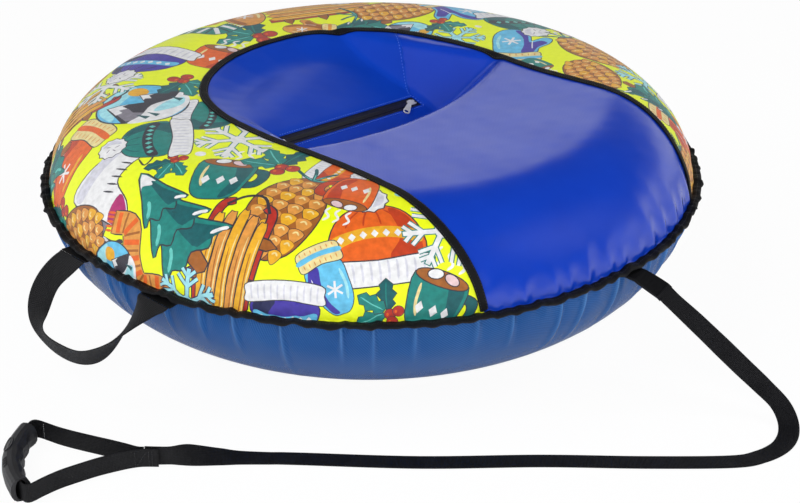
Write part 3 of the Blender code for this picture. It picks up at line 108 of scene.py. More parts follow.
# What the shiny cloth mirrors is white low down and dark above. It turns dark sooner in front and at the
# sides, so that a pale sheen lies on the crest of the seat and not on the slopes round it.
world = bpy.data.worlds.new("white_surround")
world.use_nodes = True
scene.world = world
lit = world.node_tree.nodes["Background"]
seen = add_node(world, "ShaderNodeBackground", {"Color": (1.0, 1.0, 1.0, 1.0), "Strength": 1.0})
world_rays = add_node(world, "ShaderNodeLightPath")
world_mix = add_node(world, "ShaderNodeMixShader")
direction = add_node(world, "ShaderNodeTexCoord")
upward = add_node(world, "ShaderNodeSeparateXYZ")
in_front = add_node(world, "ShaderNodeMapRange", {1: -0.35, 2: 0.35, 3: 0.26, 4: 0.0})
sideways = add_node(world, "ShaderNodeMapRange", {1: -1.0, 2: 1.0})
SIDE_SHADE = ((0.28, 0.0), (0.36, 0.34), (0.455, 0.34), (0.485, 0.0), (0.54, 0.0), (0.63, 0.22))
beside = smooth_ramp(world, *((place, (amount, amount, amount)) for place, amount in SIDE_SHADE))
darker = add_node(world, "ShaderNodeMath", operation="ADD")
darkest = add_node(world, "ShaderNodeMath", operation="ADD")
shade = smooth_ramp(world, (0.42, (1.0, 1.0, 1.0)), (0.60, (0.05, 0.055, 0.07)))
join_nodes(
    world,
    (direction.outputs["Generated"], upward.inputs[0]),
    (upward.outputs["Y"], in_front.inputs[0]),
    (upward.outputs["Z"], darker.inputs[0]),
    (in_front.outputs[0], darker.inputs[1]),
    (upward.outputs["X"], sideways.inputs[0]),
    (sideways.outputs[0], beside.inputs["Fac"]),
    (darker.outputs[0], darkest.inputs[0]),
    (beside.outputs["Color"], darkest.inputs[1]),
    (darkest.outputs[0], shade.inputs["Fac"]),
    (shade.outputs["Color"], lit.inputs["Color"]),
    (world_rays.outputs["Is Camera Ray"], world_mix.inputs["Fac"]),
    (lit.outputs[0], world_mix.inputs[1]),
    (seen.outputs[0], world_mix.inputs[2]),
    (world_mix.outputs[0], world.node_tree.nodes["World Output"].inputs["Surface"]),
)
lit.inputs["Strength"].default_value = 1.05


def add_lamp(name, place, aim, size, power):
    lamp = bpy.data.lights.new(name, "AREA")
    lamp.shape = "RECTANGLE"
    lamp.size, lamp.size_y = size
    lamp.energy = power
    thing = bpy.data.objects.new(name, lamp)
    thing.location = place
    thing.visible_glossy = False
    thing.rotation_euler = (Vector(aim) - Vector(place)).to_track_quat("-Z", "Y").to_euler()
    scene.collection.objects.link(thing)


add_lamp("soft_lamp_left", (-2.2, -1.3, 2.6), (0.0, 0.0, 0.1), (2.4, 2.4), 90.0)
add_lamp("soft_lamp_right", (2.4, -0.6, 1.9), (0.1, 0.0, 0.1), (1.6, 1.8), 46.0)
add_lamp("soft_lamp_front", (0.6, -3.2, 1.5), (0.0, 0.0, 0.1), (2.4, 1.4), 52.0)

# The tow strap: 25 mm black polyester webbing, woven with fine ribs across it.
# It leaves its anchor under the rim, drops to the table, runs along the front of the tube and
# turns on edge where its end is sewn back on itself.
STRAP_WIDTH = 0.025
STRAP_THICKNESS = 0.0018
TABLE_GAP = 0.0002
TOW_ROUTE = [
    (0.3480, -0.3028, 0.1436, 20.0), (0.3622, -0.3095, 0.1310, 26.0), (0.3905, -0.3185, 0.1065, 38.0),
    (0.4180, -0.3260, 0.0812, 43.0), (0.4450, -0.3360, 0.0572, 40.0), (0.4685, -0.3465, 0.0376, 32.0),
    (0.4890, -0.3595, 0.0200, 20.0), (0.4970, -0.3775, 0.0070, 6.0), (0.4935, -0.4010, 0.0011, 0.0),
    (0.4800, -0.4250, 0.0011, 0.0), (0.4550, -0.4440, 0.0011, 0.0), (0.4200, -0.4545, 0.0011, 0.0),
    (0.3200, -0.4560, 0.0011, 0.0), (0.2000, -0.4530, 0.0011, 0.0), (0.0600, -0.4560, 0.0011, 0.0),
    (-0.0790, -0.4486, 0.0011, 0.0), (-0.1133, -0.4476, 0.0011, 0.0), (-0.1479, -0.4479, 0.0020, -5.0),
    (-0.1650, -0.4498, 0.0040, -16.0), (-0.1821, -0.4518, 0.0060, -28.0), (-0.1990, -0.4545, 0.0090, -46.0),
    (-0.2130, -0.4580, 0.0115, -72.0), (-0.2260, -0.4603, 0.0128, -90.0),
    (-0.2400, -0.4606, 0.0128, -90.0), (-0.2555, -0.4598, 0.0128, -90.0),
]


def smooth_run(a, b, c, d, steps):
    """The run of a smooth curve from b to c, with a before it and d after it."""
    t = (np.arange(steps) / steps)[:, None]
    return 0.5 * (2 * b + (c - a) * t + (2 * a - 5 * b + 4 * c - d) * t**2 + (3 * b - a - 3 * c + d) * t**3)


def curve_through(knots, steps):
    """A smooth curve through rows of numbers."""
    knots = np.asarray(knots, float)
    ends = np.vstack([2 * knots[0] - knots[1], knots, 2 * knots[-1] - knots[-2]])
    runs = [smooth_run(*four, steps) for four in zip(ends, ends[1:], ends[2:], ends[3:])]
    return np.vstack([*runs, knots[-1:]])


def lengths_along(curve):
    steps = np.linalg.norm(np.diff(curve[:, :3], axis=0), axis=1)
    return np.concatenate([[0.0], np.cumsum(steps)])


def even_steps(curve, step):
    """The same curve with its rows a step apart."""
    along = lengths_along(curve)
    wanted = np.linspace(0.0, along[-1], max(2, round(along[-1] / step)) + 1)
    return np.column_stack([np.interp(wanted, along, column) for column in curve.T])


def unit(rows):
    return rows / np.linalg.norm(rows, axis=-1, keepdims=True)


def headings(curve):
    ahead = np.vstack([curve[1:], curve[-1:]])
    behind = np.vstack([curve[:1], curve[:-1]])
    return unit(ahead - behind)


def mesh_piece(name, points, faces, places=None):
    """A smooth mesh with, for each point, its place on the flat cloth in metres, for weaves."""
    mesh = bpy.data.meshes.new(name)
    mesh.from_pydata(np.asarray(points, float).tolist(), [], faces)
    if places is not None:
        corners = np.empty(len(mesh.loops), int)
        mesh.loops.foreach_get("vertex_index", corners)
        layer = mesh.uv_layers.new(name="cloth")
        layer.data.foreach_set("uv", np.asarray(places, float)[corners].ravel())
    mesh.shade_smooth()
    piece = bpy.data.objects.new(name, mesh)
    scene.collection.objects.link(piece)
    return piece


WEB_SECTION = np.array([
    (-0.5, 0.0), (-0.48, -0.42), (-0.43, -0.5), (-0.2, -0.5), (0.0, -0.5), (0.2, -0.5), (0.43, -0.5),
    (0.48, -0.42), (0.5, 0.0), (0.48, 0.42), (0.43, 0.5), (0.2, 0.5), (0.0, 0.5), (-0.2, 0.5),
    (-0.43, 0.5), (-0.48, 0.42),
])


def ring_faces(count, sides):
    """The faces of a run of rings of points, with a face over each end."""
    faces = []
    for i in range(count - 1):
        for j in range(sides):
            k = (j + 1) % sides
            faces.append((i * sides + j, i * sides + k, (i + 1) * sides + k, (i + 1) * sides + j))
    last = (count - 1) * sides
    return faces + [tuple(reversed(range(sides))), tuple(range(last, last + sides))]


def webbing(name, centre, across, width, thickness, along=None):
    """A flat strap with soft edges. across holds a unit vector along its width at each point."""
    ways = headings(centre) if along is None else along
    out = unit(np.cross(ways, across))
    rings = (
        centre[:, None] + across[:, None] * WEB_SECTION[None, :, :1] * width
        + out[:, None] * WEB_SECTION[None, :, 1:] * thickness
    )
    run = lengths_along(centre)
    places = np.stack(np.broadcast_arrays(WEB_SECTION[None, :, 0] * width, run[:, None]), axis=-1)
    faces = ring_faces(len(centre), len(WEB_SECTION))
    return mesh_piece(name, rings.reshape(-1, 3), faces, places.reshape(-1, 2))


def stand_for(piece, node, *finishes, body="cover"):
    """Dress a piece in its finishes, and let it take the place of a solid."""
    for finish in finishes:
        piece.data.materials.append(finish)
    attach(piece, body)
    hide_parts(node)


def new_finish(name, colour, roughness, metallic=0.0, **sockets):
    """A material, with its shader."""
    material = bpy.data.materials.new(name)
    material.use_nodes = True
    shader = material.node_tree.nodes["Principled BSDF"]
    shader.inputs["Base Color"].default_value = (*colour, 1.0)
    shader.inputs["Roughness"].default_value = roughness
    shader.inputs["Metallic"].default_value = metallic
    for socket, value in sockets.items():
        shader.inputs[socket.replace("_", " ")].default_value = value
    return material, shader


def cloth_places(material, turn=0.0):
    """The place on the flat cloth, turned by an angle, so that a weave runs across it."""
    source = add_node(material, "ShaderNodeUVMap", uv_map="cloth")
    if not turn:
        return source.outputs[0]
    turned = add_node(material, "ShaderNodeMapping", {"Rotation": (0.0, 0.0, turn)})
    join_nodes(material, (source.outputs[0], turned.inputs[0]))
    return turned.outputs[0]


def ribs(material, places, pitch, way):
    """Fine ridges a pitch apart across X or Y of the flat cloth, from 0 to 1."""
    wave = add_node(material, "ShaderNodeTexWave", {"Scale": math.pi / 10 / pitch},
                    wave_type="BANDS", bands_direction=way)
    join_nodes(material, (places, wave.inputs["Vector"]))
    return wave.outputs["Fac"]


def patches(material, places, size, detail=2.0):
    """Soft uneven patches of about a size, from 0 to 1."""
    noise = add_node(material, "ShaderNodeTexNoise", {"Scale": 1.0 / size, "Detail": detail})
    join_nodes(material, (places, noise.inputs["Vector"]))
    return noise.outputs["Fac"]


def weigh(material, a, b, operation="MULTIPLY"):
    """Two values, or a value and a number, worked together."""
    node = add_node(material, "ShaderNodeMath", operation=operation)
    for socket, value in zip(node.inputs, (a, b)):
        if isinstance(value, (int, float)):
            socket.default_value = value
        else:
            join_nodes(material, (value, socket))
    return node.outputs[0]


def raise_surface(material, shader, height, depth):
    """Let a 0 to 1 height raise the surface by a depth in metres."""
    bump = add_node(material, "ShaderNodeBump", {"Strength": 1.0, "Distance": depth})
    join_nodes(material, (height, bump.inputs["Height"]), (bump.outputs[0], shader.inputs["Normal"]))


def tint(material, shader, amount, low, high):
    """Colour the surface from low to high by an amount from 0 to 1."""
    mix = add_node(material, "ShaderNodeMix", {6: (*low, 1.0), 7: (*high, 1.0)}, data_type="RGBA")
    join_nodes(material, (amount, mix.inputs[0]), (mix.outputs[2], shader.inputs["Base Color"]))


def webbing_finish(name, rib, thread):
    """Black webbing: ribs across it, and thread bundles that run along it."""
    material, shader = new_finish(name, (0.008, 0.008, 0.009), 0.66, Specular_IOR_Level=0.28)
    places = cloth_places(material)
    cross_ribs = ribs(material, places, rib, "Y")
    bundles = ribs(material, places, thread, "X")
    weave = weigh(material, weigh(material, cross_ribs, 0.65), weigh(material, bundles, 0.35), "ADD")
    wear = patches(material, places, 0.02, 4.0)
    tint(material, shader, weigh(material, weave, wear), (0.0035, 0.0035, 0.004), (0.016, 0.016, 0.018))
    raise_surface(material, shader, weave, 0.0004)
    return material


strap_webbing = webbing_finish("strap_webbing", 0.0016, 0.0022)

knots = np.array(TOW_ROUTE)
knots[:, 3] = np.radians(knots[:, 3])
tow_line = even_steps(curve_through(knots, 8), 0.003)
tow_centre, tow_turn = tow_line[:, :3].copy(), tow_line[:, 3:]
tow_ways = headings(tow_centre)
tow_level = unit(np.column_stack([-tow_ways[:, 1], tow_ways[:, 0], np.zeros(len(tow_ways))]))
tow_across = tow_level * np.cos(tow_turn) + np.cross(tow_ways, tow_level) * np.sin(tow_turn)
lowest = np.abs(tow_across[:, 2]) * STRAP_WIDTH / 2 + STRAP_THICKNESS / 2 + TABLE_GAP
tow_centre[:, 2] = np.maximum(tow_centre[:, 2], lowest)
tow_strap = webbing("tow_strap_webbing", tow_centre, tow_across, STRAP_WIDTH, STRAP_THICKNESS)
stand_for(tow_strap, "tow_strap", strap_webbing)

# The loop: the last 45 cm of the webbing, turned back through the grip and sewn to the strap.
# It stands on edge on the table, and its two legs meet at the box stitch.
LOOP_ROUTE = [
    (-0.2563, -0.4597, 0.0128), (-0.2640, -0.4590, 0.0128), (-0.2790, -0.4522, 0.0128),
    (-0.2960, -0.4450, 0.0128),
    (-0.3120, -0.4388, 0.0128), (-0.3405, -0.4272, 0.0128), (-0.3600, -0.4190, 0.0134),
    (-0.3740, -0.4125, 0.0146), (-0.3835, -0.4080, 0.0153), (-0.3900, -0.4062, 0.0153),
    (-0.3945, -0.4095, 0.0153), (-0.3965, -0.4170, 0.0153), (-0.3998, -0.4270, 0.0153),
    (-0.4022, -0.4363, 0.0153), (-0.4049, -0.4559, 0.0153), (-0.4045, -0.4757, 0.0153),
    (-0.4011, -0.4952, 0.0153), (-0.3949, -0.5140, 0.0153), (-0.3895, -0.5250, 0.0153),
    (-0.3856, -0.5318, 0.0153), (-0.3820, -0.5370, 0.0153), (-0.3775, -0.5385, 0.0150),
    (-0.3722, -0.5350, 0.0146), (-0.3620, -0.5230, 0.0138), (-0.3472, -0.5085, 0.0130),
    (-0.3310, -0.4972, 0.0128), (-0.3060, -0.4822, 0.0128), (-0.2800, -0.4702, 0.0128),
    (-0.2680, -0.4660, 0.0128), (-0.2580, -0.4640, 0.0128), (-0.2400, -0.4640, 0.0128),
]
loop_centre = even_steps(curve_through(LOOP_ROUTE, 8), 0.0025)
loop_up = np.tile((0.0, 0.0, 1.0), (len(loop_centre), 1))
loop_ways = headings(loop_centre)
loop_ways[:, 2] = 0.0
tow_loop = webbing("tow_loop_webbing", loop_centre, loop_up, STRAP_WIDTH, STRAP_THICKNESS, unit(loop_ways))
stand_for(tow_loop, "tow_loop", strap_webbing)

# Sewing thread: short stitches that stand a little out of the cloth they hold.
# Black thread holds the webbing and the bindings, and blue thread holds the seat pieces and the zip.
thread_black, _ = new_finish("thread_black", (0.02, 0.02, 0.022), 0.45, Sheen_Weight=0.1)
thread_blue, _ = new_finish("thread_blue", (0.09, 0.19, 0.68), 0.5)
thread_grey, _ = new_finish("thread_grey", (0.36, 0.36, 0.37), 0.5)
STITCH_SECTION = [(math.cos(a), math.sin(a)) for a in (0.0, 1.26, 2.51, 3.77, 5.03)]


def stitches(name, line, out, pitch, share, radius, thread):
    """Stitches along a line of points, each with the direction that points out of the cloth."""
    along = lengths_along(line)
    points, faces = [], []
    count = int(along[-1] / pitch)
    for i in range(count):
        start = (i + (1.0 - share) / 2) * pitch
        ends = [start + pitch * share * t for t in (0.0, 0.2, 0.8, 1.0)]
        spots = np.column_stack([np.interp(ends, along, line[:, c]) for c in range(3)])
        up = unit(np.array([np.interp(ends[1], along, out[:, c]) for c in range(3)]))
        way = unit(spots[-1] - spots[0])
        side = np.cross(up, way)
        first = len(points)
        for spot, size in zip(spots, (0.25, 1.0, 1.0, 0.25)):
            lift = radius * (0.35 if size == 1.0 else -0.3)
            for a, b in STITCH_SECTION:
                points.append(spot + up * (lift + b * radius * size) + side * a * radius * size)
        for ring in range(3):
            for j in range(5):
                a, b = first + ring * 5 + j, first + ring * 5 + (j + 1) % 5
                faces.append((a, b, b + 5, a + 5))
        faces.append(tuple(range(first + 4, first - 1, -1)))
        faces.append(tuple(range(first + 15, first + 20)))
    piece = mesh_piece(name, points, faces)
    piece.data.materials.append(thread)
    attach(piece, "cover")
    return piece


# Two rows across the seam where the legs meet, a slanted row between them, and one row at the end
BOX_ROWS = (
    ((-0.2665, 0.0015), (-0.2665, 0.0240)), ((-0.2655, 0.0020), (-0.2515, 0.0236)),
    ((-0.2508, 0.0015), (-0.2508, 0.0240)), ((-0.2470, 0.0015), (-0.2470, 0.0240)),
)
leg = loop_centre[-30:]
leg = leg[np.argsort(leg[:, 0])]
for i, (low, high) in enumerate(BOX_ROWS):
    xs, zs = (np.linspace(low[c], high[c], 12) for c in (0, 1))
    row = np.column_stack([xs, np.interp(xs, leg[:, 0], leg[:, 1]) - STRAP_THICKNESS / 2, zs])
    stitches(
        f"box_stitch_{i + 1}", row, np.tile((0.0, -1.0, 0.0), (12, 1)), 0.0026, 0.75, 0.00035, thread_black)
upper_leg = loop_centre[: len(loop_centre) // 2]
mark = upper_leg[np.argmin(np.abs(upper_leg[:, 0] + 0.3790))]
mark_row = np.column_stack([np.full(10, mark[0]), np.full(10, mark[1]), np.linspace(0.0040, 0.0262, 10)])
mark_way = unit(np.array((-0.42, -0.91, 0.0)))
mark_row += mark_way * STRAP_THICKNESS / 2
stitches(
    "loop_end_stitch", mark_row, np.tile(mark_way, (10, 1)), 0.0026, 0.7, 0.0003, thread_grey)

# The hand grip: a hollow moulding in fine-grained black plastic, bowed to fit the palm.
# It has four finger waves inside the bow, an oval pad and a few short ribs on its back.


def solid_places(material):
    """The place in the solid, in metres, for grain and wear."""
    return add_node(material, "ShaderNodeTexCoord").outputs["Object"]


def finish_solid(node, finish):
    """Dress a solid that stays as it is in the CAD."""
    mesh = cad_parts[node].data
    mesh.materials.clear()
    mesh.materials.append(finish)
    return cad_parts[node]


grip_plastic, shader = new_finish("grip_plastic", (0.014, 0.014, 0.015), 0.45, Specular_IOR_Level=0.4)
grain_places = solid_places(grip_plastic)
grain = patches(grip_plastic, grain_places, 0.0007, 2.0)
raise_surface(grip_plastic, shader, grain, 0.00012)
wear = patches(grip_plastic, grain_places, 0.02, 3.0)
tint(grip_plastic, shader, wear, (0.010, 0.010, 0.011), (0.024, 0.024, 0.026))
hand_grip = finish_solid("hand_grip", grip_plastic)
GRIP_CHORD, GRIP_BOW, GRIP_WIDTH, GRIP_HEIGHT = 0.1153, 0.0135, 0.0245, 0.0300
grip_radius = GRIP_CHORD**2 / (8 * GRIP_BOW) + GRIP_BOW / 2
grip_sweep = 2 * math.asin(GRIP_CHORD / 2 / grip_radius)
GRIP_TURN, GRIP_BACK = math.radians(5.4), np.array((-0.40447, -0.47570))
grip_centre = GRIP_BACK + grip_radius * np.array((math.cos(GRIP_TURN), math.sin(GRIP_TURN)))


def on_grip(share, turn):
    """A point of the grip's skin, from its share of the length and its turn from the back to the top."""
    angle = math.pi + GRIP_TURN + grip_sweep * (share - 0.5)
    reach = GRIP_WIDTH / 2 * (0.92 + 0.08 * (1.0 - abs(2 * share - 1.0)))
    out = math.copysign(abs(math.cos(turn)) ** 0.85, math.cos(turn))
    up = math.copysign(abs(math.sin(turn)) ** 0.85, math.sin(turn))
    spot = grip_centre + (grip_radius + reach * out) * np.array((math.cos(angle), math.sin(angle)))
    return np.array((*spot, GRIP_HEIGHT / 2 * (1.0 + up) + 0.0003))


def grip_bead(name, line, width):
    """A thin raised bead along a line of share and turn on the grip's skin."""
    spots = np.array([on_grip(share, turn) for share, turn in line])
    core = np.array([on_grip(share, turn + 0.5) + on_grip(share, turn - 0.5) for share, turn in line]) / 2
    ways = headings(spots)
    if np.allclose(spots[0], spots[-1]):
        ways[0] = ways[-1] = unit(spots[1] - spots[-2])
    across = unit(np.cross(ways, unit(spots - core)))
    bead = webbing(name, spots, across, width, 0.0016, ways)
    bead.data.materials.append(grip_plastic)
    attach(bead, "cover")
    return bead


pad_turns = np.linspace(0.0, math.tau, 33)
grip_beads = [grip_bead(
    "grip_pad_lip", [(0.36 + 0.105 * math.cos(t), 1.02 + 0.44 * math.sin(t)) for t in pad_turns], 0.0015)]
for i in range(4):
    share = 0.585 + 0.035 * i
    grip_beads.append(grip_bead(f"grip_rib_{i + 1}", [(share, 0.62 + 0.09 * k) for k in range(7)], 0.0018))

# The bottom cover: blue coated cloth with a fine slanted scrim in it, cut as a disc.
# It is gathered into the rim seam, so soft pleats run down from the rim.
RIM_RADIUS, RIM_HEIGHT = 0.430, 0.163
ROOT_RADIUS = 0.418
FLANGE_WIDTH = 0.0107
FLANGE_LAYER = 0.00095
FLANGE_DRAW = 0.6
BOTTOM_FLAT_RADIUS = 0.184
GATHER_REACH = 0.030


def quarter_arc(width, height):
    turn = np.linspace(0.0, math.pi / 2, 201)
    return float(np.hypot(np.diff(width * np.sin(turn)), np.diff(height * np.cos(turn))).sum())


def ease(value):
    value = np.clip(value, 0.0, 1.0)
    return value * value * (3.0 - 2.0 * value)


chance = np.random.default_rng(21)
pucker_count = 138
pucker_angles = math.tau * (np.arange(pucker_count) + chance.uniform(-0.3, 0.3, pucker_count)) / pucker_count
pucker_heights = chance.uniform(0.0008, 0.0026, pucker_count)
pucker_heights[chance.permutation(pucker_count)[:40]] += 0.0015
pucker_widths = chance.uniform(0.007, 0.012, pucker_count)


def turned_from(angle, other):
    return (angle - other + math.pi) % math.tau - math.pi


def rim_wave(angle):
    """How far the sewn rim is drawn up at an angle."""
    rise = np.zeros_like(angle)
    for middle, height, width in zip(pucker_angles, pucker_heights, pucker_widths):
        rise += height * np.exp(-((turned_from(angle, middle) * RIM_RADIUS / width * 1.6) ** 2))
    return rise


def pleat_table(count, seed, heights, widths, lengths):
    """Pleats round the rim: angle, height, width at the rim and length, all a little uneven."""
    draw = np.random.default_rng(seed)
    angles = math.tau * (np.arange(count) + draw.uniform(-0.32, 0.32, count)) / count
    return np.column_stack([
        angles, draw.uniform(*heights, count), draw.uniform(*widths, count), draw.uniform(*lengths, count),
        draw.uniform(-0.12, 0.12, count),
    ])


def pleats(table, angle, drop):
    """Height of the pleats at an angle and a distance from the rim seam."""
    rise = np.zeros_like(angle)
    inward = np.maximum(drop, 0.0)
    for middle, height, width, length, lean in table:
        spread = width * (1.0 + 1.6 * inward / length)
        off = (turned_from(angle, middle) * RIM_RADIUS + lean * inward) / spread
        crest = np.exp(-(np.abs(off) ** 1.5))
        crest = crest - 0.45 * np.exp(-((off - 1.5) ** 2)) - 0.25 * np.exp(-((off + 1.7) ** 2))
        rise += height * crest * (1.0 - ease(inward / length)) * ease(inward / 0.006)
    return rise


BOTTOM_FLAT = BOTTOM_FLAT_RADIUS + quarter_arc(ROOT_RADIUS - BOTTOM_FLAT_RADIUS, RIM_HEIGHT - FLANGE_LAYER)
long_pleats = pleat_table(49, 5, (0.0022, 0.0042), (0.0024, 0.0040), (0.09, 0.20))
long_pleats[:, 4] = 0.0
short_pleats = pleat_table(118, 6, (0.0010, 0.0030), (0.003, 0.006), (0.02, 0.07))
reaches = np.concatenate([
    np.linspace(0.01, BOTTOM_FLAT_RADIUS, 7)[:-1],
    np.linspace(BOTTOM_FLAT_RADIUS, BOTTOM_FLAT - 0.03, 34)[:-1],
    np.linspace(BOTTOM_FLAT - 0.03, BOTTOM_FLAT, 9), [BOTTOM_FLAT + 0.004, BOTTOM_FLAT + 0.0100],
])
# Columns of points stand closer together over each long pleat, so that its narrow crest is sharp
pleat_columns = np.array((-3.0, -2.2, -1.6, -1.2, -0.8, -0.4, 0.0, 0.4, 0.8, 1.2, 1.6, 2.2, 3.0)) / RIM_RADIUS
pleat_columns = (long_pleats[:, :1] + long_pleats[:, 2:3] * pleat_columns).ravel() % math.tau
angles = np.unique(np.round(np.concatenate([math.tau * np.arange(640) / 640, pleat_columns]), 4))
columns = len(angles)
reach, angle = (a.ravel() for a in np.meshgrid(reaches, angles, indexing="ij"))
turn = math.pi / 2 * np.clip((reach - BOTTOM_FLAT_RADIUS) / (BOTTOM_FLAT - BOTTOM_FLAT_RADIUS), 0.0, 1.0)
width, drop = ROOT_RADIUS - BOTTOM_FLAT_RADIUS, RIM_HEIGHT - FLANGE_LAYER
radius = np.minimum(reach, BOTTOM_FLAT_RADIUS) + width * np.sin(turn)
radius = radius + FLANGE_DRAW * np.maximum(reach - BOTTOM_FLAT, 0.0)
height = drop * (1.0 - np.cos(turn))
lean_out = unit(np.column_stack([np.sin(turn) / width, -np.cos(turn) / drop]))
off_the_ground = ease((reach - BOTTOM_FLAT_RADIUS - 0.02) / 0.06)
ridges = pleats(long_pleats, angle, BOTTOM_FLAT - reach)
swell = (ridges + pleats(short_pleats, angle, BOTTOM_FLAT - reach)) * off_the_ground
radius = radius + swell * lean_out[:, 0]
height = height + swell * lean_out[:, 1]
height += rim_wave(angle) * ease((reach - BOTTOM_FLAT + GATHER_REACH) / GATHER_REACH)
points = np.column_stack([radius * np.cos(angle), radius * np.sin(angle), np.maximum(height, 0.0)])
places = np.column_stack([reach * np.cos(angle), reach * np.sin(angle)])
faces = []
for row in range(len(reaches) - 1):
    a, b = row * columns, (row + 1) * columns
    for i in range(columns):
        j = (i + 1) % columns
        faces.append((b + i, b + j, a + j, a + i))
faces.append(tuple(reversed(range(columns))))
bottom_cloth = mesh_piece("bottom_cloth", points, faces, places)

# Painted highlight: the coat is painted paler along the crests of the long pleats, where they would catch the
# light
crest = np.clip(ridges / 0.0034, 0.0, 1.0) ** 2 * off_the_ground
crest_highlight_attribute = bottom_cloth.data.attributes.new("crest", "FLOAT", "POINT")
crest_highlight_attribute.data.foreach_set("value", crest.astype(np.float32))
coated_blue, shader = new_finish(
    "coated_cloth_mid_blue", (0.010, 0.080, 0.285), 0.26, Specular_IOR_Level=0.15)
places = cloth_places(coated_blue, math.radians(32.0))
scrim = weigh(coated_blue, ribs(coated_blue, places, 0.0031, "X"),
              weigh(coated_blue, ribs(coated_blue, places, 0.0031, "Y"), 0.25), "ADD")
shading = patches(coated_blue, places, 0.09, 3.0)
# Painted highlight: the crest attribute lightens the colour along the pleat crests
painted_crest_highlight = add_node(coated_blue, "ShaderNodeAttribute", attribute_name="crest").outputs["Fac"]
weave_light = weigh(coated_blue, weigh(coated_blue, scrim, 0.34), shading)
tint(coated_blue, shader, weigh(coated_blue, weave_light, weigh(coated_blue, painted_crest_highlight, 0.75), "ADD"),
     (0.007, 0.064, 0.236), (0.075, 0.215, 0.500))
raise_surface(coated_blue, shader, scrim, 0.00016)
stand_for(bottom_cloth, "bottom_cover", coated_blue)

# The top cover's shape, as it lies on the inflated tube: a bulge round a shallow seat.
# A taut slope carries the zip, with a steep wall in front of it and one at each of its ends.
CREST_RADIUS, CREST_HEIGHT, SEAT_SAG = 0.292, 0.270, 0.006
SLOPE_TILT = 0.40
FRONT_WALL_TILT, FRONT_WALL_TOP = 1.05, 0.262
FRONT_WALL_ACROSS, FRONT_WALL_BEND, FRONT_WALL_MIDDLE = -0.113, 1.25, 0.030
END_WALL_TILT = 1.6
VALLEY_BLEND, END_BLEND, LIP_BLEND = 0.012, 0.008, 0.012
TAUT_START, TAUT_FALL, TAUT_SLOPE, TAUT_BLEND = 0.018, 0.11, 0.27, 0.006
TAUT_END, TAUT_FADE, TAUT_RADIUS = 0.19, 0.05, 0.25
ZIP_LENGTH, ZIP_TAPE_LAP, ZIP_LEFT_TUCK, ZIP_SLOT_WIDTH = 0.258, 0.004, 0.0185, 0.018
ZIP_HEADING = math.radians(51.3)
ZIP_MIDDLE = np.array((-0.048, 0.0256)) * RIM_RADIUS
ZIP_SLOPE, ZIP_MID_HEIGHT = (0.207 - 0.242) / ZIP_LENGTH, (0.207 + 0.242) / 2
TOP_RISE = CREST_HEIGHT - RIM_HEIGHT - FLANGE_LAYER
TOP_FLAT = CREST_RADIUS + quarter_arc(ROOT_RADIUS - CREST_RADIUS, TOP_RISE)
FULL_FLAT = TOP_FLAT + FLANGE_WIDTH
SEAM_SHARES = [
    (0.284, -0.875), (0.254, -0.828), (0.194, -0.749), (0.088, -0.626), (-0.021, -0.507),
    (-0.097, -0.434), (-0.174, -0.365), (-0.253, -0.298), (-0.335, -0.214), (-0.378, -0.163),
    (-0.417, -0.098), (-0.441, -0.035), (-0.448, 0.035), (-0.438, 0.115), (-0.400, 0.218),
    (-0.330, 0.312), (-0.227, 0.394), (-0.103, 0.438), (0.048, 0.434), (0.174, 0.381),
    (0.300, 0.296), (0.458, 0.143), (0.610, 0.029), (0.718, -0.066), (0.808, -0.168),
    (0.861, -0.214), (0.906, -0.237),
]
SEAM_START, SEAM_END = math.radians(-71.2), math.radians(-15.0)
SEAM_BAND_HALF = 0.0065
seam_corners = np.array(SEAM_SHARES) * FULL_FLAT


def on_circle(reach, angle):
    return np.column_stack([reach * np.cos(angle), reach * np.sin(angle)])


def inside_seat(flat):
    """1 on the seat's side of the seat seam, and 0 on the print's side."""
    far_side = on_circle(FULL_FLAT * 1.2, np.linspace(SEAM_END, SEAM_START, 12))
    return inside_outline(flat, np.vstack([seam_corners, far_side]))


def blend_higher(a, b, room):
    near = np.maximum(room - np.abs(a - b), 0.0) / room
    return np.maximum(a, b) + near * near * room / 4


def zip_plan(x, y):
    """Plan distances along and across the zip."""
    off_x, off_y = x - ZIP_MIDDLE[0], y - ZIP_MIDDLE[1]
    along = off_x * math.cos(ZIP_HEADING) + off_y * math.sin(ZIP_HEADING)
    across = -off_x * math.sin(ZIP_HEADING) + off_y * math.cos(ZIP_HEADING)
    return along, across


def seam_room(x, y):
    """Plan distance from the seat seam's band, inside the seat."""
    room = np.full(len(x), math.inf)
    for (ax, ay), (bx, by) in zip(seam_corners, seam_corners[1:]):
        run_x, run_y = bx - ax, by - ay
        share = np.clip(((x - ax) * run_x + (y - ay) * run_y) / (run_x**2 + run_y**2), 0.0, 1.0)
        room = np.minimum(room, np.hypot(ax + share * run_x - x, ay + share * run_y - y))
    return np.maximum(room - SEAM_BAND_HALF, 0.0)


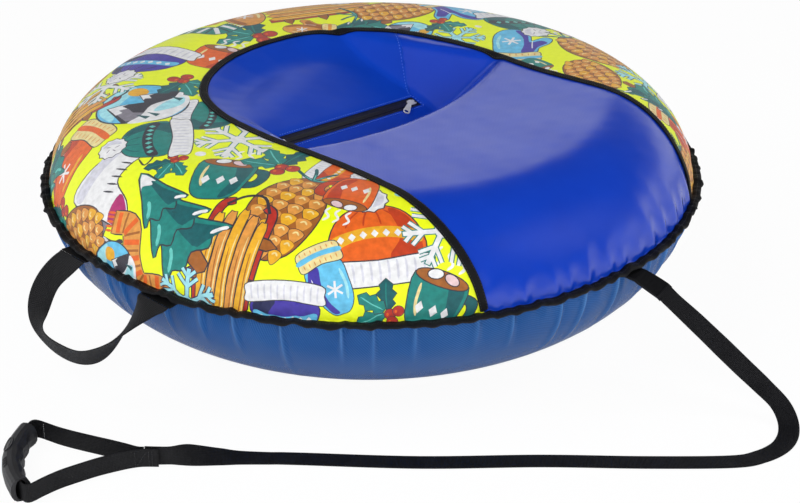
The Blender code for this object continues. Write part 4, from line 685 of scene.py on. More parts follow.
def top_shape(flat):
    """Where points of the top's flat pattern lie on the inflated cover."""
    reach = np.hypot(flat[:, 0], flat[:, 1])
    angle = np.arctan2(flat[:, 1], flat[:, 0])
    turn = math.pi / 2 * np.clip((reach - CREST_RADIUS) / (TOP_FLAT - CREST_RADIUS), 0.0, 1.0)
    radius = np.minimum(reach, CREST_RADIUS) + (ROOT_RADIUS - CREST_RADIUS) * np.sin(turn)
    radius += FLANGE_DRAW * np.maximum(reach - TOP_FLAT, 0.0)
    dish = CREST_HEIGHT - SEAT_SAG * (1.0 - np.minimum(reach / CREST_RADIUS, 1.0) ** 2) ** 2
    height = np.where(reach <= CREST_RADIUS, dish, RIM_HEIGHT + FLANGE_LAYER + TOP_RISE * np.cos(turn))
    x, y = radius * np.cos(angle), radius * np.sin(angle)
    along, across = zip_plan(x, y)
    slope = ZIP_MID_HEIGHT + ZIP_SLOPE * along + SLOPE_TILT * across
    lip = FRONT_WALL_ACROSS + FRONT_WALL_BEND * (along - FRONT_WALL_MIDDLE) ** 2
    front_wall = FRONT_WALL_TOP + FRONT_WALL_TILT * (lip - across)
    beyond = np.maximum(along - ZIP_LENGTH / 2 - ZIP_TAPE_LAP, -along - ZIP_LENGTH / 2 - ZIP_LEFT_TUCK)
    end_wall = slope + END_WALL_TILT * beyond - END_BLEND
    hollow = blend_higher(blend_higher(slope, end_wall, END_BLEND), front_wall, VALLEY_BLEND)
    height = -blend_higher(-height, -hollow, LIP_BLEND)
    behind_zip = TAUT_FALL * np.maximum(across - TAUT_START, 0.0) * ease((TAUT_END - along) / TAUT_FADE)
    taut = -blend_higher(-behind_zip, -TAUT_SLOPE * seam_room(x, y), TAUT_BLEND)
    height -= np.maximum(taut, 0.0) * (x * x + y * y < TAUT_RADIUS**2) * inside_seat(flat)
    height += rim_wave(angle) * ease((reach - TOP_FLAT + GATHER_REACH) / GATHER_REACH)
    return np.column_stack([x, y, height])


def top_normals(flat):
    step = 0.0008
    run_x = top_shape(flat + (step, 0.0)) - top_shape(flat - (step, 0.0))
    run_y = top_shape(flat + (0.0, step)) - top_shape(flat - (0.0, step))
    return unit(np.cross(run_x, run_y))


def inside_outline(points, outline):
    """Which points lie inside a closed outline."""
    hit = np.zeros(len(points), bool)
    low, high = outline.min(axis=0), outline.max(axis=0)
    near = np.flatnonzero(((points >= low) & (points <= high)).all(axis=1))
    x, y = points[near].T
    result = np.zeros(len(near), bool)
    for (ax, ay), (bx, by) in zip(outline, np.roll(outline, -1, axis=0)):
        if ay == by:
            continue
        crosses = ((ay > y) != (by > y)) & (x < ax + (bx - ax) * (y - ay) / (by - ay))
        result ^= crosses
    hit[near] = result
    return hit


def clear_of(points, lines, room):
    """Which points keep clear of the corners of these lines."""
    corners = np.vstack(lines)
    tree = KDTree(len(corners))
    for i, (x, y) in enumerate(corners):
        tree.insert((x, y, 0.0), i)
    tree.balance()
    return np.array([tree.find((x, y, 0.0))[2] > room for x, y in points])


ROW_SHARE = 0.866
RIM_STEP, RIM_BAND = 0.0026, 0.075


def cut_cloth(outline, lines, cell, rim_rings=()):
    """Triangles of a flat pattern, with these closed or open lines as edges of triangles."""
    grid = []
    low, high = outline.min(axis=0), outline.max(axis=0)
    rows = int((high[1] - low[1]) / (cell * ROW_SHARE)) + 1
    columns = int((high[0] - low[0]) / cell) + 1
    inner = FULL_FLAT - RIM_BAND if len(rim_rings) else math.inf
    for row in range(rows):
        for column in range(columns):
            spot = (low[0] + (column + row % 2 / 2) * cell, low[1] + row * cell * ROW_SHARE)
            if spot[0] ** 2 + spot[1] ** 2 < inner**2:
                grid.append(spot)
    for k, ring in enumerate(rim_rings):
        count = int(math.tau * ring / RIM_STEP)
        turns = math.tau * (np.arange(count) + k % 2 / 2) / count
        grid += on_circle(ring, turns).tolist()
    grid = np.array(grid)
    grid = grid[inside_outline(grid, outline)]
    grid = grid[clear_of(grid, [outline, *lines], cell * 0.32)]
    spots, edges = [outline], [(i, (i + 1) % len(outline)) for i in range(len(outline))]
    first = len(outline)
    for line in lines:
        spots.append(line)
        edges += [(first + i, first + (i + 1) % len(line)) for i in range(len(line))]
        first += len(line)
    spots.append(grid)
    verts = [Vector(p) for p in np.vstack(spots).tolist()]
    found = delaunay_2d_cdt(verts, edges, [], 0, 1e-6)
    flat = np.array([tuple(p) for p in found[0]])
    faces = np.array(found[2])
    corners = flat[faces]
    cross = np.cross(corners[:, 1] - corners[:, 0], corners[:, 2] - corners[:, 0])
    faces = np.where((cross > 0.0)[:, None], faces, faces[:, ::-1])
    middles = corners.mean(axis=1)
    keep = inside_outline(middles, outline) & (np.abs(cross) > 1e-12)
    return flat, faces[keep], middles[keep]


seam_knots = np.vstack([
    on_circle(FULL_FLAT, np.array([SEAM_START])), seam_corners, on_circle(FULL_FLAT, np.array([SEAM_END])),
])
seam_line = even_steps(curve_through(seam_knots, 12), 0.004)


def left_of(ways):
    return np.column_stack([-ways[:, 1], ways[:, 0]])


seam_right = -left_of(headings(seam_line))


def beside_seam(distance):
    """The seat seam moved to the seat's side of it, still from rim to rim."""
    line = seam_line + seam_right * distance
    for end in (0, -1):
        line[end] *= FULL_FLAT / np.linalg.norm(line[end])
    return line


def rim_run(first, last):
    """The cut edge at the rim from one angle to another, without its ends."""
    count = int(abs(last - first) * FULL_FLAT / RIM_STEP)
    return on_circle(FULL_FLAT, np.linspace(first, last, count + 1)[1:-1])


rim_rings = FULL_FLAT - np.array((
    0.0045, 0.0107, 0.015, 0.0195, 0.024, 0.029, 0.034, 0.040, 0.046, 0.053, 0.060, 0.068,
))

# The print: a lime ground with winter things on it, drawn in flat inks with a dark outline.
# Every shape is an outline in the cut of the cloth, so each ink is its own part of the panel.


def ink_colour(red, green, blue):
    """A colour from how it looks on the cloth, 0 to 255, to how much light it returns."""
    shares = np.array((red, green, blue)) / 255.0
    return tuple(np.where(shares <= 0.04045, shares / 12.92, ((shares + 0.055) / 1.055) ** 2.4).tolist())


INKS = {
    "lime": (222, 236, 8), "pale_lime": (190, 224, 70), "white": (238, 238, 240), "grey": (196, 196, 206),
    "mid_grey": (122, 118, 128), "charcoal": (48, 46, 56), "navy": (34, 38, 78), "violet": (62, 50, 150),
    "sky": (92, 176, 220), "pale_sky": (150, 210, 238), "teal": (22, 120, 112), "deep_teal": (14, 84, 88),
    "pale_teal": (92, 182, 172), "orange": (224, 92, 24), "deep_orange": (178, 56, 20),
    "amber": (236, 160, 34), "tan": (206, 140, 62), "brown": (150, 88, 34), "cream": (236, 200, 140),
    "magenta": (162, 32, 100), "pink": (224, 184, 186), "red": (170, 44, 32),
}


def rounded(corners, steps=4):
    """A closed outline that runs smoothly through these corners."""
    corners = np.asarray(corners, float)
    fours = zip(*(np.roll(corners, back, 0) for back in (1, 0, -1, -2)))
    return np.vstack([smooth_run(*four, steps) for four in fours])


def oval(x, y, wide, high, turn=0.0, count=22):
    a = math.tau * np.arange(count) / count
    px, py = wide * np.cos(a), high * np.sin(a)
    return np.column_stack([x + px * math.cos(turn) - py * math.sin(turn),
                            y + px * math.sin(turn) + py * math.cos(turn)])


def stroke(corners, wide, steps=4, taper=True):
    """A brush stroke along these corners."""
    line = curve_through(corners, steps) if len(corners) > 2 else np.linspace(corners[0], corners[1], 4)
    side = left_of(headings(line))
    share = np.linspace(0.0, 1.0, len(line))
    fade = np.minimum(1.0, np.minimum(share, 1.0 - share) * 6 + 0.35) if taper else np.ones(len(line))
    half = (wide / 2 * fade)[:, None]
    return np.vstack([line + side * half, (line - side * half)[::-1]])


def grown(outline, by):
    """The outline a little larger all round."""
    outline = np.asarray(outline, float)
    ways = unit(np.roll(outline, -1, 0) - np.roll(outline, 1, 0) + 1e-12)
    area = np.cross(outline, np.roll(outline, -1, 0)).sum()
    side = np.column_stack([ways[:, 1], -ways[:, 0]]) * (1.0 if area > 0 else -1.0)
    return outline + side * by


def outlined(ink, outline, line="charcoal", by=0.011):
    return [(line, grown(outline, by)), (ink, outline)]


def snowy_fir():
    shapes = outlined("brown", rounded([(-0.05, -0.5), (0.05, -0.5), (0.04, -0.3), (-0.04, -0.3)], 2))
    for low, top, half in ((-0.38, 0.06, 0.33), (-0.17, 0.27, 0.26), (0.05, 0.5, 0.18)):
        edge = [(0.0, top), (half * 0.5, (low + top) / 2 - 0.02), (half, low), (half * 0.62, low + 0.035),
                (half * 0.36, low - 0.03), (0.0, low + 0.03), (-half * 0.36, low - 0.03),
                (-half * 0.62, low + 0.035), (-half, low), (-half * 0.5, (low + top) / 2 - 0.02)]
        shapes += outlined("teal", rounded(edge, 3))
        dark = [(0.01, top - 0.06), (half * 0.42, (low + top) / 2 - 0.04), (half * 0.86, low + 0.02),
                (half * 0.4, low + 0.02), (0.03, low + 0.06)]
        snow = [(0.0, top - 0.015), (half * 0.3, top - 0.15), (half * 0.16, top - 0.13),
                (0.02, top - 0.17), (-half * 0.22, top - 0.13), (-half * 0.36, top - 0.16)]
        light = [(-half * 0.72, low + 0.045), (-half * 0.45, low + 0.10), (-half * 0.32, low + 0.16)]
        frost = [(half * 0.55, low + 0.05), (half * 0.78, low + 0.03), (half * 0.93, low + 0.005)]
        shapes += [("deep_teal", rounded(dark, 3)), ("white", rounded(snow, 3)),
                   ("pale_teal", stroke(light, 0.028)), ("white", stroke(frost, 0.026))]
    return shapes


def bobble_hat(wool, shade, band, light):
    dome = rounded([(-0.36, -0.12), (-0.35, 0.10), (-0.22, 0.29), (0.0, 0.36), (0.22, 0.29), (0.35, 0.10),
                    (0.36, -0.12), (0.0, -0.16)])
    shapes = outlined(wool, dome)
    shapes += [
        (shade, rounded([(0.10, -0.13), (0.20, 0.05), (0.13, 0.31), (0.24, 0.26), (0.33, 0.10),
                         (0.345, -0.11)])),
        (band, rounded([(-0.352, -0.02), (-0.34, 0.08), (-0.17, 0.13), (0.0, 0.145), (0.17, 0.13),
                        (0.34, 0.08), (0.352, -0.02), (0.17, 0.03), (0.0, 0.045), (-0.17, 0.03)])),
    ]
    for i in range(7):
        x = -0.27 + 0.09 * i
        y = 0.083 - 0.32 * x * x
        shapes.append((light, rounded([(x - 0.03, y), (x, y + 0.035), (x + 0.03, y), (x, y - 0.035)], 1)))
    for x in (-0.22, -0.08, 0.06, 0.2):
        shapes.append((shade, stroke([(x, 0.16), (x * 0.8, 0.24), (x * 0.45, 0.31)], 0.014)))
    shapes += outlined("white", rounded([(-0.41, -0.12), (-0.42, -0.22), (-0.39, -0.32), (0.0, -0.35),
                                         (0.39, -0.32), (0.42, -0.22), (0.41, -0.12), (0.0, -0.15)]))
    for i in range(11):
        x = -0.355 + 0.071 * i
        shapes.append(("grey", stroke([(x, -0.15), (x + 0.004, -0.23), (x, -0.31)], 0.018)))
    turns = np.arange(22)
    fluffy = 0.135 * (1.0 + 0.13 * (turns % 2))
    ball = (fluffy * np.cos(math.tau * turns / 22), 0.44 + fluffy * np.sin(math.tau * turns / 22))
    shapes += outlined("white", np.column_stack(ball))
    shapes.append(("grey", rounded([(0.02, 0.34), (0.10, 0.38), (0.12, 0.47), (0.05, 0.54), (0.06, 0.44)])))
    for a in (0.6, 1.9, 3.3, 4.4):
        curl = [(0.03 * math.cos(a), 0.44 + 0.03 * math.sin(a)),
                (0.08 * math.cos(a + 0.3), 0.44 + 0.08 * math.sin(a + 0.3))]
        shapes.append(("mid_grey", stroke(curl, 0.012)))
    return shapes


def mitten(wool, shade, light):
    hand = rounded([(-0.19, -0.22), (-0.23, 0.05), (-0.20, 0.30), (-0.08, 0.44), (0.08, 0.43), (0.18, 0.28),
                    (0.19, 0.12), (0.25, 0.15), (0.34, 0.21), (0.41, 0.16), (0.38, 0.04), (0.26, -0.08),
                    (0.19, -0.22)])
    shapes = outlined(wool, hand)
    shapes.append((shade, rounded([(0.06, -0.20), (0.10, 0.0), (0.10, 0.22), (0.03, 0.41), (0.10, 0.40),
                                   (0.16, 0.27), (0.17, 0.08), (0.30, 0.12), (0.36, 0.05), (0.25, -0.06),
                                   (0.18, -0.20)])))
    shapes.append((light, stroke([(-0.17, -0.10), (-0.18, 0.10), (-0.14, 0.28)], 0.035)))
    centre = np.array((-0.03, 0.12))
    for k in range(3):
        a = math.pi * k / 3 + 0.2
        arm = np.array((math.cos(a), math.sin(a))) * 0.105
        shapes.append(("white", stroke([centre - arm, centre + arm], 0.026, taper=False)))
    shapes.append(("white", stroke([(0.20, 0.11), (0.19, 0.0), (0.185, -0.1)], 0.012)))
    shapes += outlined("cream", rounded([(-0.24, -0.20), (-0.26, -0.32), (-0.23, -0.44), (0.0, -0.47),
                                         (0.23, -0.44), (0.26, -0.32), (0.24, -0.20), (0.0, -0.23)]))
    shapes.append((wool, rounded([(-0.255, -0.30), (0.0, -0.325), (0.255, -0.30), (0.252, -0.36),
                                  (0.0, -0.385), (-0.252, -0.36)])))
    for i in range(7):
        x = -0.2 + 0.067 * i
        for top, foot in ((-0.235, -0.29), (-0.395, -0.44)):
            shapes.append(("tan", stroke([(x, top), (x, foot)], 0.014)))
    return shapes


def wooden_sled():
    shapes = []
    for y in (-0.20, 0.20):
        shapes += outlined("red", stroke([(-0.50, y), (-0.1, y), (0.36, y), (0.50, y * 0.9), (0.54, y * 0.6)],
                                         0.055, taper=False))
    for x in (-0.34, -0.02, 0.28):
        shapes += outlined("brown", rounded([(x - 0.035, -0.25), (x + 0.035, -0.25), (x + 0.035, 0.25),
                                             (x - 0.035, 0.25)], 2))
    for i, y in enumerate((-0.16, -0.08, 0.0, 0.08, 0.16)):
        tip = 0.42 + 0.03 * (2 - abs(i - 2))
        shapes += outlined("tan" if i % 2 else "amber", rounded(
            [(-0.45, y - 0.032), (0.0, y - 0.034), (tip - 0.04, y - 0.032), (tip, y), (tip - 0.04, y + 0.032),
             (0.0, y + 0.034), (-0.45, y + 0.032)], 2), by=0.008)
        shapes.append(("brown", stroke([(-0.38, y + 0.006), (-0.1, y - 0.004), (0.2, y + 0.006)], 0.008)))
        shapes.append(("cream", stroke([(-0.40, y - 0.018), (-0.05, y - 0.02), (0.3, y - 0.018)], 0.009)))
    rope = [(0.50, -0.16), (0.62, -0.06), (0.60, 0.06), (0.50, 0.16)]
    shapes.append(("charcoal", stroke(rope, 0.022, taper=False)))
    return shapes


def snow_star(body, line):
    shapes = []
    for ink, extra in ((line, 0.026), (body, 0.0)):
        for k in range(6):
            a = math.pi * k / 3
            way, side = np.array((math.cos(a), math.sin(a))), np.array((-math.sin(a), math.cos(a)))
            shapes.append((ink, stroke([way * -0.02, way * (0.46 + extra / 2)], 0.058 + extra, taper=False)))
            for at, reach in ((0.22, 0.15), (0.35, 0.10)):
                for hand in (-1.0, 1.0):
                    shapes.append((ink, stroke([way * at, way * (at + reach) + side * hand * reach],
                                               0.042 + extra, taper=False)))
        shapes.append((ink, oval(0.0, 0.0, 0.09 + extra / 2, 0.09 + extra / 2, count=12)))
    return shapes


def pine_cone():
    body = rounded([(0.0, 0.46), (0.16, 0.36), (0.27, 0.14), (0.28, -0.10), (0.19, -0.34), (0.0, -0.44),
                    (-0.19, -0.34), (-0.28, -0.10), (-0.27, 0.14), (-0.16, 0.36)])
    shapes = outlined("brown", body)
    for row in range(8):
        y = 0.36 - 0.105 * row
        half = 0.27 * math.sqrt(max(0.0, 1.0 - (y / 0.47) ** 2))
        count = max(1, round(half / 0.062))
        for i in range(count):
            x = (i - (count - 1) / 2) * (2 * half / count) * 0.98
            w, h = half / count * 0.98, 0.075
            scale = rounded([(x - w, y + 0.02), (x, y + 0.045), (x + w, y + 0.02),
                             (x + w * 0.55, y - h * 0.6), (x, y - h), (x - w * 0.55, y - h * 0.6)], 3)
            gleam = [(x - w * 0.45, y + 0.002), (x, y + 0.022), (x + w * 0.45, y + 0.002)]
            shapes += [("charcoal" if row % 2 else "brown", grown(scale, 0.006)),
                       ("tan" if (row + i) % 3 else "amber", scale), ("cream", stroke(gleam, 0.014))]
    for a in (-0.9, -0.3, 0.4, 1.0):
        tip = (0.30 * math.sin(a), 0.44 + 0.20 * math.cos(a))
        shapes.append(("deep_teal", stroke([(0.0, 0.42), (tip[0] * 0.5, tip[1] - 0.08), tip], 0.03)))
        shapes.append(("pale_teal", stroke([(0.0, 0.43), (tip[0] * 0.45, tip[1] - 0.09)], 0.01)))
    return shapes


def peak_badge():
    shapes = outlined("sky", oval(0.0, 0.0, 0.44, 0.44, count=44), by=0.018)
    shapes += [
        ("pale_sky", rounded([(-0.42, 0.05), (-0.25, 0.34), (0.05, 0.43), (0.3, 0.30), (0.1, 0.22),
                              (-0.15, 0.18)])),
        ("amber", oval(0.20, 0.20, 0.10, 0.10)),
        ("charcoal", [(-0.44, -0.08), (-0.19, 0.29), (0.02, 0.0), (0.14, 0.15), (0.43, -0.12), (0.34, -0.29),
                      (-0.33, -0.30)]),
        ("mid_grey", [(-0.40, -0.10), (-0.19, 0.26), (-0.16, 0.05), (-0.22, -0.05), (-0.13, -0.28),
                      (-0.32, -0.28)]),
        ("white", [(-0.305, 0.085), (-0.19, 0.265), (-0.075, 0.11), (-0.13, 0.14), (-0.16, 0.06),
                   (-0.21, 0.12), (-0.25, 0.05)]),
        ("white", [(0.06, 0.04), (0.14, 0.135), (0.24, 0.04), (0.18, 0.06), (0.14, 0.0), (0.10, 0.05)]),
        ("white", rounded([(-0.43, -0.14), (-0.25, -0.16), (0.0, -0.10), (0.25, -0.18), (0.42, -0.15),
                           (0.36, -0.30), (0.15, -0.41), (-0.15, -0.41), (-0.36, -0.28)])),
        ("pale_sky", rounded([(-0.1, -0.2), (0.15, -0.17), (0.33, -0.25), (0.2, -0.34), (0.02, -0.30)])),
    ]
    for x, y in ((-0.26, -0.20), (-0.16, -0.25), (0.27, -0.22)):
        shapes.append(("deep_teal", [(x - 0.035, y - 0.05), (x + 0.035, y - 0.05), (x, y + 0.09)]))
    return shapes


def ice_skate():
    boot = rounded([(-0.26, 0.46), (0.02, 0.46), (0.04, 0.20), (0.09, 0.06), (0.30, -0.02), (0.40, -0.12),
                    (0.38, -0.22), (0.0, -0.23), (-0.30, -0.22), (-0.29, 0.0), (-0.24, 0.2)])
    blade = stroke([(-0.36, -0.36), (0.0, -0.37), (0.36, -0.36), (0.47, -0.29)], 0.05)
    shapes = outlined("charcoal", blade, by=0.004)
    shapes.append(("grey", stroke([(-0.34, -0.355), (0.0, -0.365), (0.36, -0.355)], 0.028)))
    for x in (-0.2, 0.2):
        post = [(x - 0.05, -0.22), (x + 0.05, -0.22), (x + 0.03, -0.35), (x - 0.03, -0.35)]
        shapes += outlined("mid_grey", post)
    shapes += outlined("white", boot)
    shapes += [
        ("grey", rounded([(-0.25, 0.40), (-0.16, 0.40), (-0.15, 0.1), (-0.17, -0.19), (-0.28, -0.19),
                          (-0.26, 0.05)])),
        ("magenta", rounded([(-0.275, 0.47), (0.035, 0.47), (0.03, 0.36), (-0.255, 0.36)])),
        ("magenta", rounded([(0.20, 0.0), (0.33, -0.05), (0.39, -0.13), (0.37, -0.21), (0.22, -0.21)])),
    ]
    for i in range(6):
        x, y = 0.018 * i, 0.30 - 0.065 * i
        shapes.append(("charcoal", stroke([(x - 0.07, y - 0.02), (x + 0.035, y + 0.012)], 0.016)))
    shapes.append(("charcoal", stroke([(-0.02, 0.33), (0.12, 0.38), (0.16, 0.28), (0.05, 0.30)], 0.015)))
    return shapes


def holly_twig():
    shapes = []
    spines = [(0.06, 0.05), (0.15, 0.13), (0.21, 0.08), (0.30, 0.15), (0.36, 0.08), (0.43, 0.10)]
    leaves = ((2.5, "teal", "pale_teal"), (0.6, "deep_teal", "teal"), (1.55, "teal", "pale_teal"))
    for turn, ink, light in leaves:
        way, side = np.array((math.cos(turn), math.sin(turn))), np.array((-math.sin(turn), math.cos(turn)))
        left, right = ([way * a + side * hand * b for a, b in spines] for hand in (1.0, -1.0))
        shapes += outlined(ink, left + [way * 0.52] + right[::-1])
        shapes.append((light, stroke([way * 0.08, way * 0.28 + side * 0.01, way * 0.47], 0.018)))
    for x, y in ((0.0, -0.05), (0.11, -0.13), (-0.09, -0.15)):
        shapes += outlined("red", oval(x, y, 0.085, 0.085, count=16))
        shapes.append(("orange", oval(x - 0.025, y + 0.03, 0.028, 0.02, 0.6, count=10)))
    return shapes


def cocoa_mug(glaze, shade):
    handle = rounded([(0.22, 0.14), (0.40, 0.12), (0.43, -0.06), (0.36, -0.20), (0.20, -0.22), (0.22, -0.13),
                      (0.31, -0.12), (0.34, -0.03), (0.31, 0.05), (0.22, 0.06)])
    shapes = outlined(shade, handle)
    shapes += outlined(glaze, rounded([(-0.28, 0.22), (-0.27, -0.20), (-0.18, -0.36), (0.0, -0.39),
                                       (0.16, -0.36), (0.25, -0.20), (0.26, 0.22), (0.0, 0.19)]))
    shapes.append((shade, rounded([(0.08, 0.18), (0.12, -0.1), (0.05, -0.36), (0.14, -0.34), (0.22, -0.20),
                                   (0.235, 0.19)])))
    shapes.append(("cream", stroke([(-0.20, 0.12), (-0.20, -0.08), (-0.16, -0.22)], 0.03)))
    shapes += outlined("brown", oval(-0.01, 0.215, 0.265, 0.075))
    shapes += outlined("white", oval(-0.09, 0.245, 0.075, 0.045, 0.3, count=14))
    shapes += outlined("pink", oval(0.08, 0.235, 0.075, 0.045, -0.3, count=14))
    for x in (-0.13, 0.0, 0.12):
        steam = [(x, 0.31), (x + 0.04, 0.38), (x - 0.02, 0.45), (x + 0.03, 0.52)]
        shapes.append(("white", stroke(steam, 0.03)))
    for x in (-0.15, 0.0, 0.13):
        shapes.append(("white", [(x - 0.045, -0.12), (x, -0.05), (x + 0.045, -0.12), (x, -0.19)]))
    return shapes


def long_scarf(wool, shade, light):
    line = [(-0.50, 0.22), (-0.30, 0.02), (-0.08, 0.14), (0.10, 0.02), (0.28, -0.18), (0.48, -0.10)]
    shapes = outlined(wool, stroke(line, 0.19, steps=5, taper=False))
    run = even_steps(curve_through(np.array(line), 8), 0.035)
    ways = headings(run)
    side = left_of(ways)
    for i in range(2, len(run) - 1, 4):
        for at, ink, wide in ((i, light, 0.045), (i + 2, shade, 0.02)):
            if at < len(run):
                band = [run[at] - side[at] * 0.085, run[at] + side[at] * 0.085]
                shapes.append((ink, stroke(band, wide, taper=False)))
    for end, hand in ((0, -1.0), (-1, 1.0)):
        for k in (-0.075, -0.04, 0.0, 0.04, 0.075):
            root = run[end] + side[end] * k
            shapes.append((light, stroke([root, root + ways[end] * hand * 0.09], 0.022)))
    return shapes


MOTIFS = {
    "fir": snowy_fir, "cone": pine_cone, "sled": wooden_sled, "skate": ice_skate, "peaks": peak_badge,
    "holly": holly_twig,
    "hat_orange": lambda: bobble_hat("orange", "deep_orange", "amber", "white"),
    "hat_teal": lambda: bobble_hat("teal", "deep_teal", "charcoal", "pale_teal"),
    "hat_violet": lambda: bobble_hat("violet", "navy", "sky", "white"),
    "mitten_sky": lambda: mitten("sky", "violet", "pale_sky"),
    "mitten_red": lambda: mitten("orange", "deep_orange", "amber"),
    "mitten_tan": lambda: mitten("tan", "brown", "cream"),
    "flake": lambda: snow_star("white", "teal"),
    "flake_sky": lambda: snow_star("pale_sky", "navy"),
    "mug_orange": lambda: cocoa_mug("orange", "deep_orange"),
    "mug_teal": lambda: cocoa_mug("teal", "deep_teal"),
    "scarf": lambda: long_scarf("tan", "brown", "orange"),
    "scarf_teal": lambda: long_scarf("teal", "charcoal", "white"),
}
# Each thing's place in the cut in metres, its size, and the way it is turned
LAYOUT = [
    ("mitten_sky", 0.193, 0.157, 0.125, 0), ("holly", -0.161, 0.193, 0.115, 67),
    ("flake", -0.161, -0.149, 0.115, 134), ("cone", 0.289, 0.055, 0.115, 201),
    ("hat_teal", -0.209, -0.077, 0.112, 268), ("mug_orange", -0.209, 0.121, 0.112, 335),
    ("mitten_red", 0.073, 0.463, 0.100, 42), ("fir", -0.023, 0.229, 0.098, 109),
    ("flake_sky", 0.115, 0.187, 0.084, 176), ("hat_orange", -0.041, -0.239, 0.080, 243),
    ("peaks", 0.049, 0.211, 0.075, 310), ("scarf_teal", -0.113, 0.457, 0.090, 17),
    ("mitten_tan", -0.089, 0.217, 0.080, 84), ("holly", -0.233, -0.209, 0.068, 151),
    ("mug_teal", 0.217, 0.085, 0.067, 218), ("hat_orange", 0.010, -0.375, 0.146, 8),
    ("cone", -0.095, -0.325, 0.152, -28), ("sled", -0.175, -0.395, 0.175, 64),
    ("mitten_sky", -0.045, -0.420, 0.099, 200), ("fir", -0.235, -0.300, 0.175, 24),
    ("mug_teal", -0.170, -0.245, 0.123, -14), ("skate", -0.320, -0.215, 0.164, -50),
    ("scarf", -0.290, -0.345, 0.152, 120), ("cone", -0.395, -0.250, 0.146, 70),
    ("hat_teal", -0.260, -0.145, 0.123, 95), ("mitten_red", -0.385, -0.120, 0.146, 128),
    ("peaks", -0.290, -0.040, 0.129, 60), ("sled", -0.415, -0.010, 0.164, 12),
    ("flake", -0.345, 0.040, 0.099, 15), ("hat_violet", -0.300, 0.115, 0.135, 150),
    ("cone", -0.400, 0.110, 0.146, 165), ("mug_orange", -0.355, 0.205, 0.135, 70),
    ("scarf_teal", -0.265, 0.220, 0.146, 20), ("fir", -0.290, 0.330, 0.175, 150),
    ("mitten_tan", -0.190, 0.285, 0.129, 200), ("skate", -0.170, 0.395, 0.158, 165),
    ("sled", -0.080, 0.300, 0.158, 20), ("hat_orange", -0.060, 0.400, 0.140, 190),
    ("cone", 0.030, 0.290, 0.135, 110), ("peaks", 0.045, 0.385, 0.129, 10),
    ("mitten_sky", 0.120, 0.300, 0.129, 220), ("scarf", 0.145, 0.405, 0.164, -20),
    ("hat_teal", 0.205, 0.260, 0.129, 200), ("fir", 0.240, 0.360, 0.170, 205),
    ("mug_orange", 0.290, 0.245, 0.123, 150), ("skate", 0.335, 0.310, 0.152, 100),
    ("cone", 0.300, 0.150, 0.135, 40), ("sled", 0.385, 0.190, 0.170, 130),
    ("flake_sky", 0.365, 0.085, 0.099, 20), ("hat_violet", 0.435, 0.085, 0.129, 250),
    ("mitten_red", 0.415, -0.010, 0.123, 260), ("cone", 0.455, -0.080, 0.117, 80),
    ("mug_teal", 0.085, -0.440, 0.123, -12), ("flake", 0.085, -0.355, 0.099, 10),
    ("fir", 0.375, 0.015, 0.105, 240), ("holly", -0.105, -0.225, 0.099, 20),
    ("holly", -0.245, 0.030, 0.094, 200), ("holly", -0.420, -0.190, 0.094, 100),
    ("flake_sky", -0.240, -0.415, 0.099, 0), ("hat_violet", -0.105, -0.455, 0.117, 170),
    ("flake", -0.450, 0.060, 0.088, 20), ("holly", -0.445, 0.170, 0.099, 40),
    ("flake_sky", -0.385, 0.285, 0.094, 12), ("holly", -0.235, 0.415, 0.094, 10),
    ("flake", 0.005, 0.455, 0.082, 25), ("holly", 0.315, 0.400, 0.094, 130),
    ("flake", 0.420, 0.255, 0.094, 5), ("holly", 0.095, 0.240, 0.070, 200),
    ("fir", -0.455, -0.095, 0.140, 100), ("peaks", -0.345, -0.335, 0.099, 30),
    ("mug_orange", -0.020, -0.300, 0.099, 160), ("holly", 0.025, -0.460, 0.082, 60),
]
drawn = []
for motif, x, y, size, turned in LAYOUT:
    c, s = math.cos(math.radians(turned)), math.sin(math.radians(turned))
    for ink, outline in MOTIFS[motif]():
        placed = np.asarray(outline) @ np.array([(c, s), (-s, c)]) * size + (x, y)
        drawn.append((ink, placed))

# Small flecks of snow and pale leaves fill the ground between them
fleck = np.random.default_rng(12)
taken = np.array([(x, y) for _, x, y, _, _ in LAYOUT])
rooms = np.array([size * 0.42 for *_, size, _ in LAYOUT])
flecks = []
while len(flecks) < 90:
    spot = fleck.uniform(-0.47, 0.47, 2)
    if np.hypot(*spot) > 0.475 or (np.hypot(*(taken - spot).T) < rooms).any():
        continue
    if any(np.hypot(*(np.array(other) - spot)) < 0.022 for other in flecks):
        continue
    flecks.append(tuple(spot))
    size = fleck.uniform(0.003, 0.008)
    ink = ("white", "pale_lime", "white", "pale_sky", "pale_lime")[len(flecks) % 5]
    high, turned = size * fleck.uniform(0.6, 1.0), fleck.uniform(0.0, 3.0)
    drawn.insert(0, (ink, oval(*spot, size, high, turned, count=12)))

print_outline = np.vstack([beside_seam(-0.0003), rim_run(SEAM_END, SEAM_START + math.tau)])
flat, faces, middles = cut_cloth(print_outline, [outline for _, outline in drawn], 0.0075, rim_rings)
ink_names = list(INKS)
ink_of_face = np.zeros(len(faces), int)
for ink, outline in drawn:
    ink_of_face[inside_outline(middles, outline)] = ink_names.index(ink)

print_pleats = pleat_table(110, 8, (0.0005, 0.0024), (0.004, 0.008), (0.025, 0.085))
reach = np.hypot(*flat.T)
lift = pleats(print_pleats, np.arctan2(flat[:, 1], flat[:, 0]), TOP_FLAT - reach) * (reach < TOP_FLAT)
points = top_shape(flat) + top_normals(flat) * lift[:, None]
printed_cloth = mesh_piece("printed_cloth", points, faces.tolist(), flat)


def plain_weave(material, places, pitch):
    """Threads a pitch apart both ways, from 0 to 2."""
    return weigh(material, ribs(material, places, pitch, "X"), ribs(material, places, pitch, "Y"), "ADD")


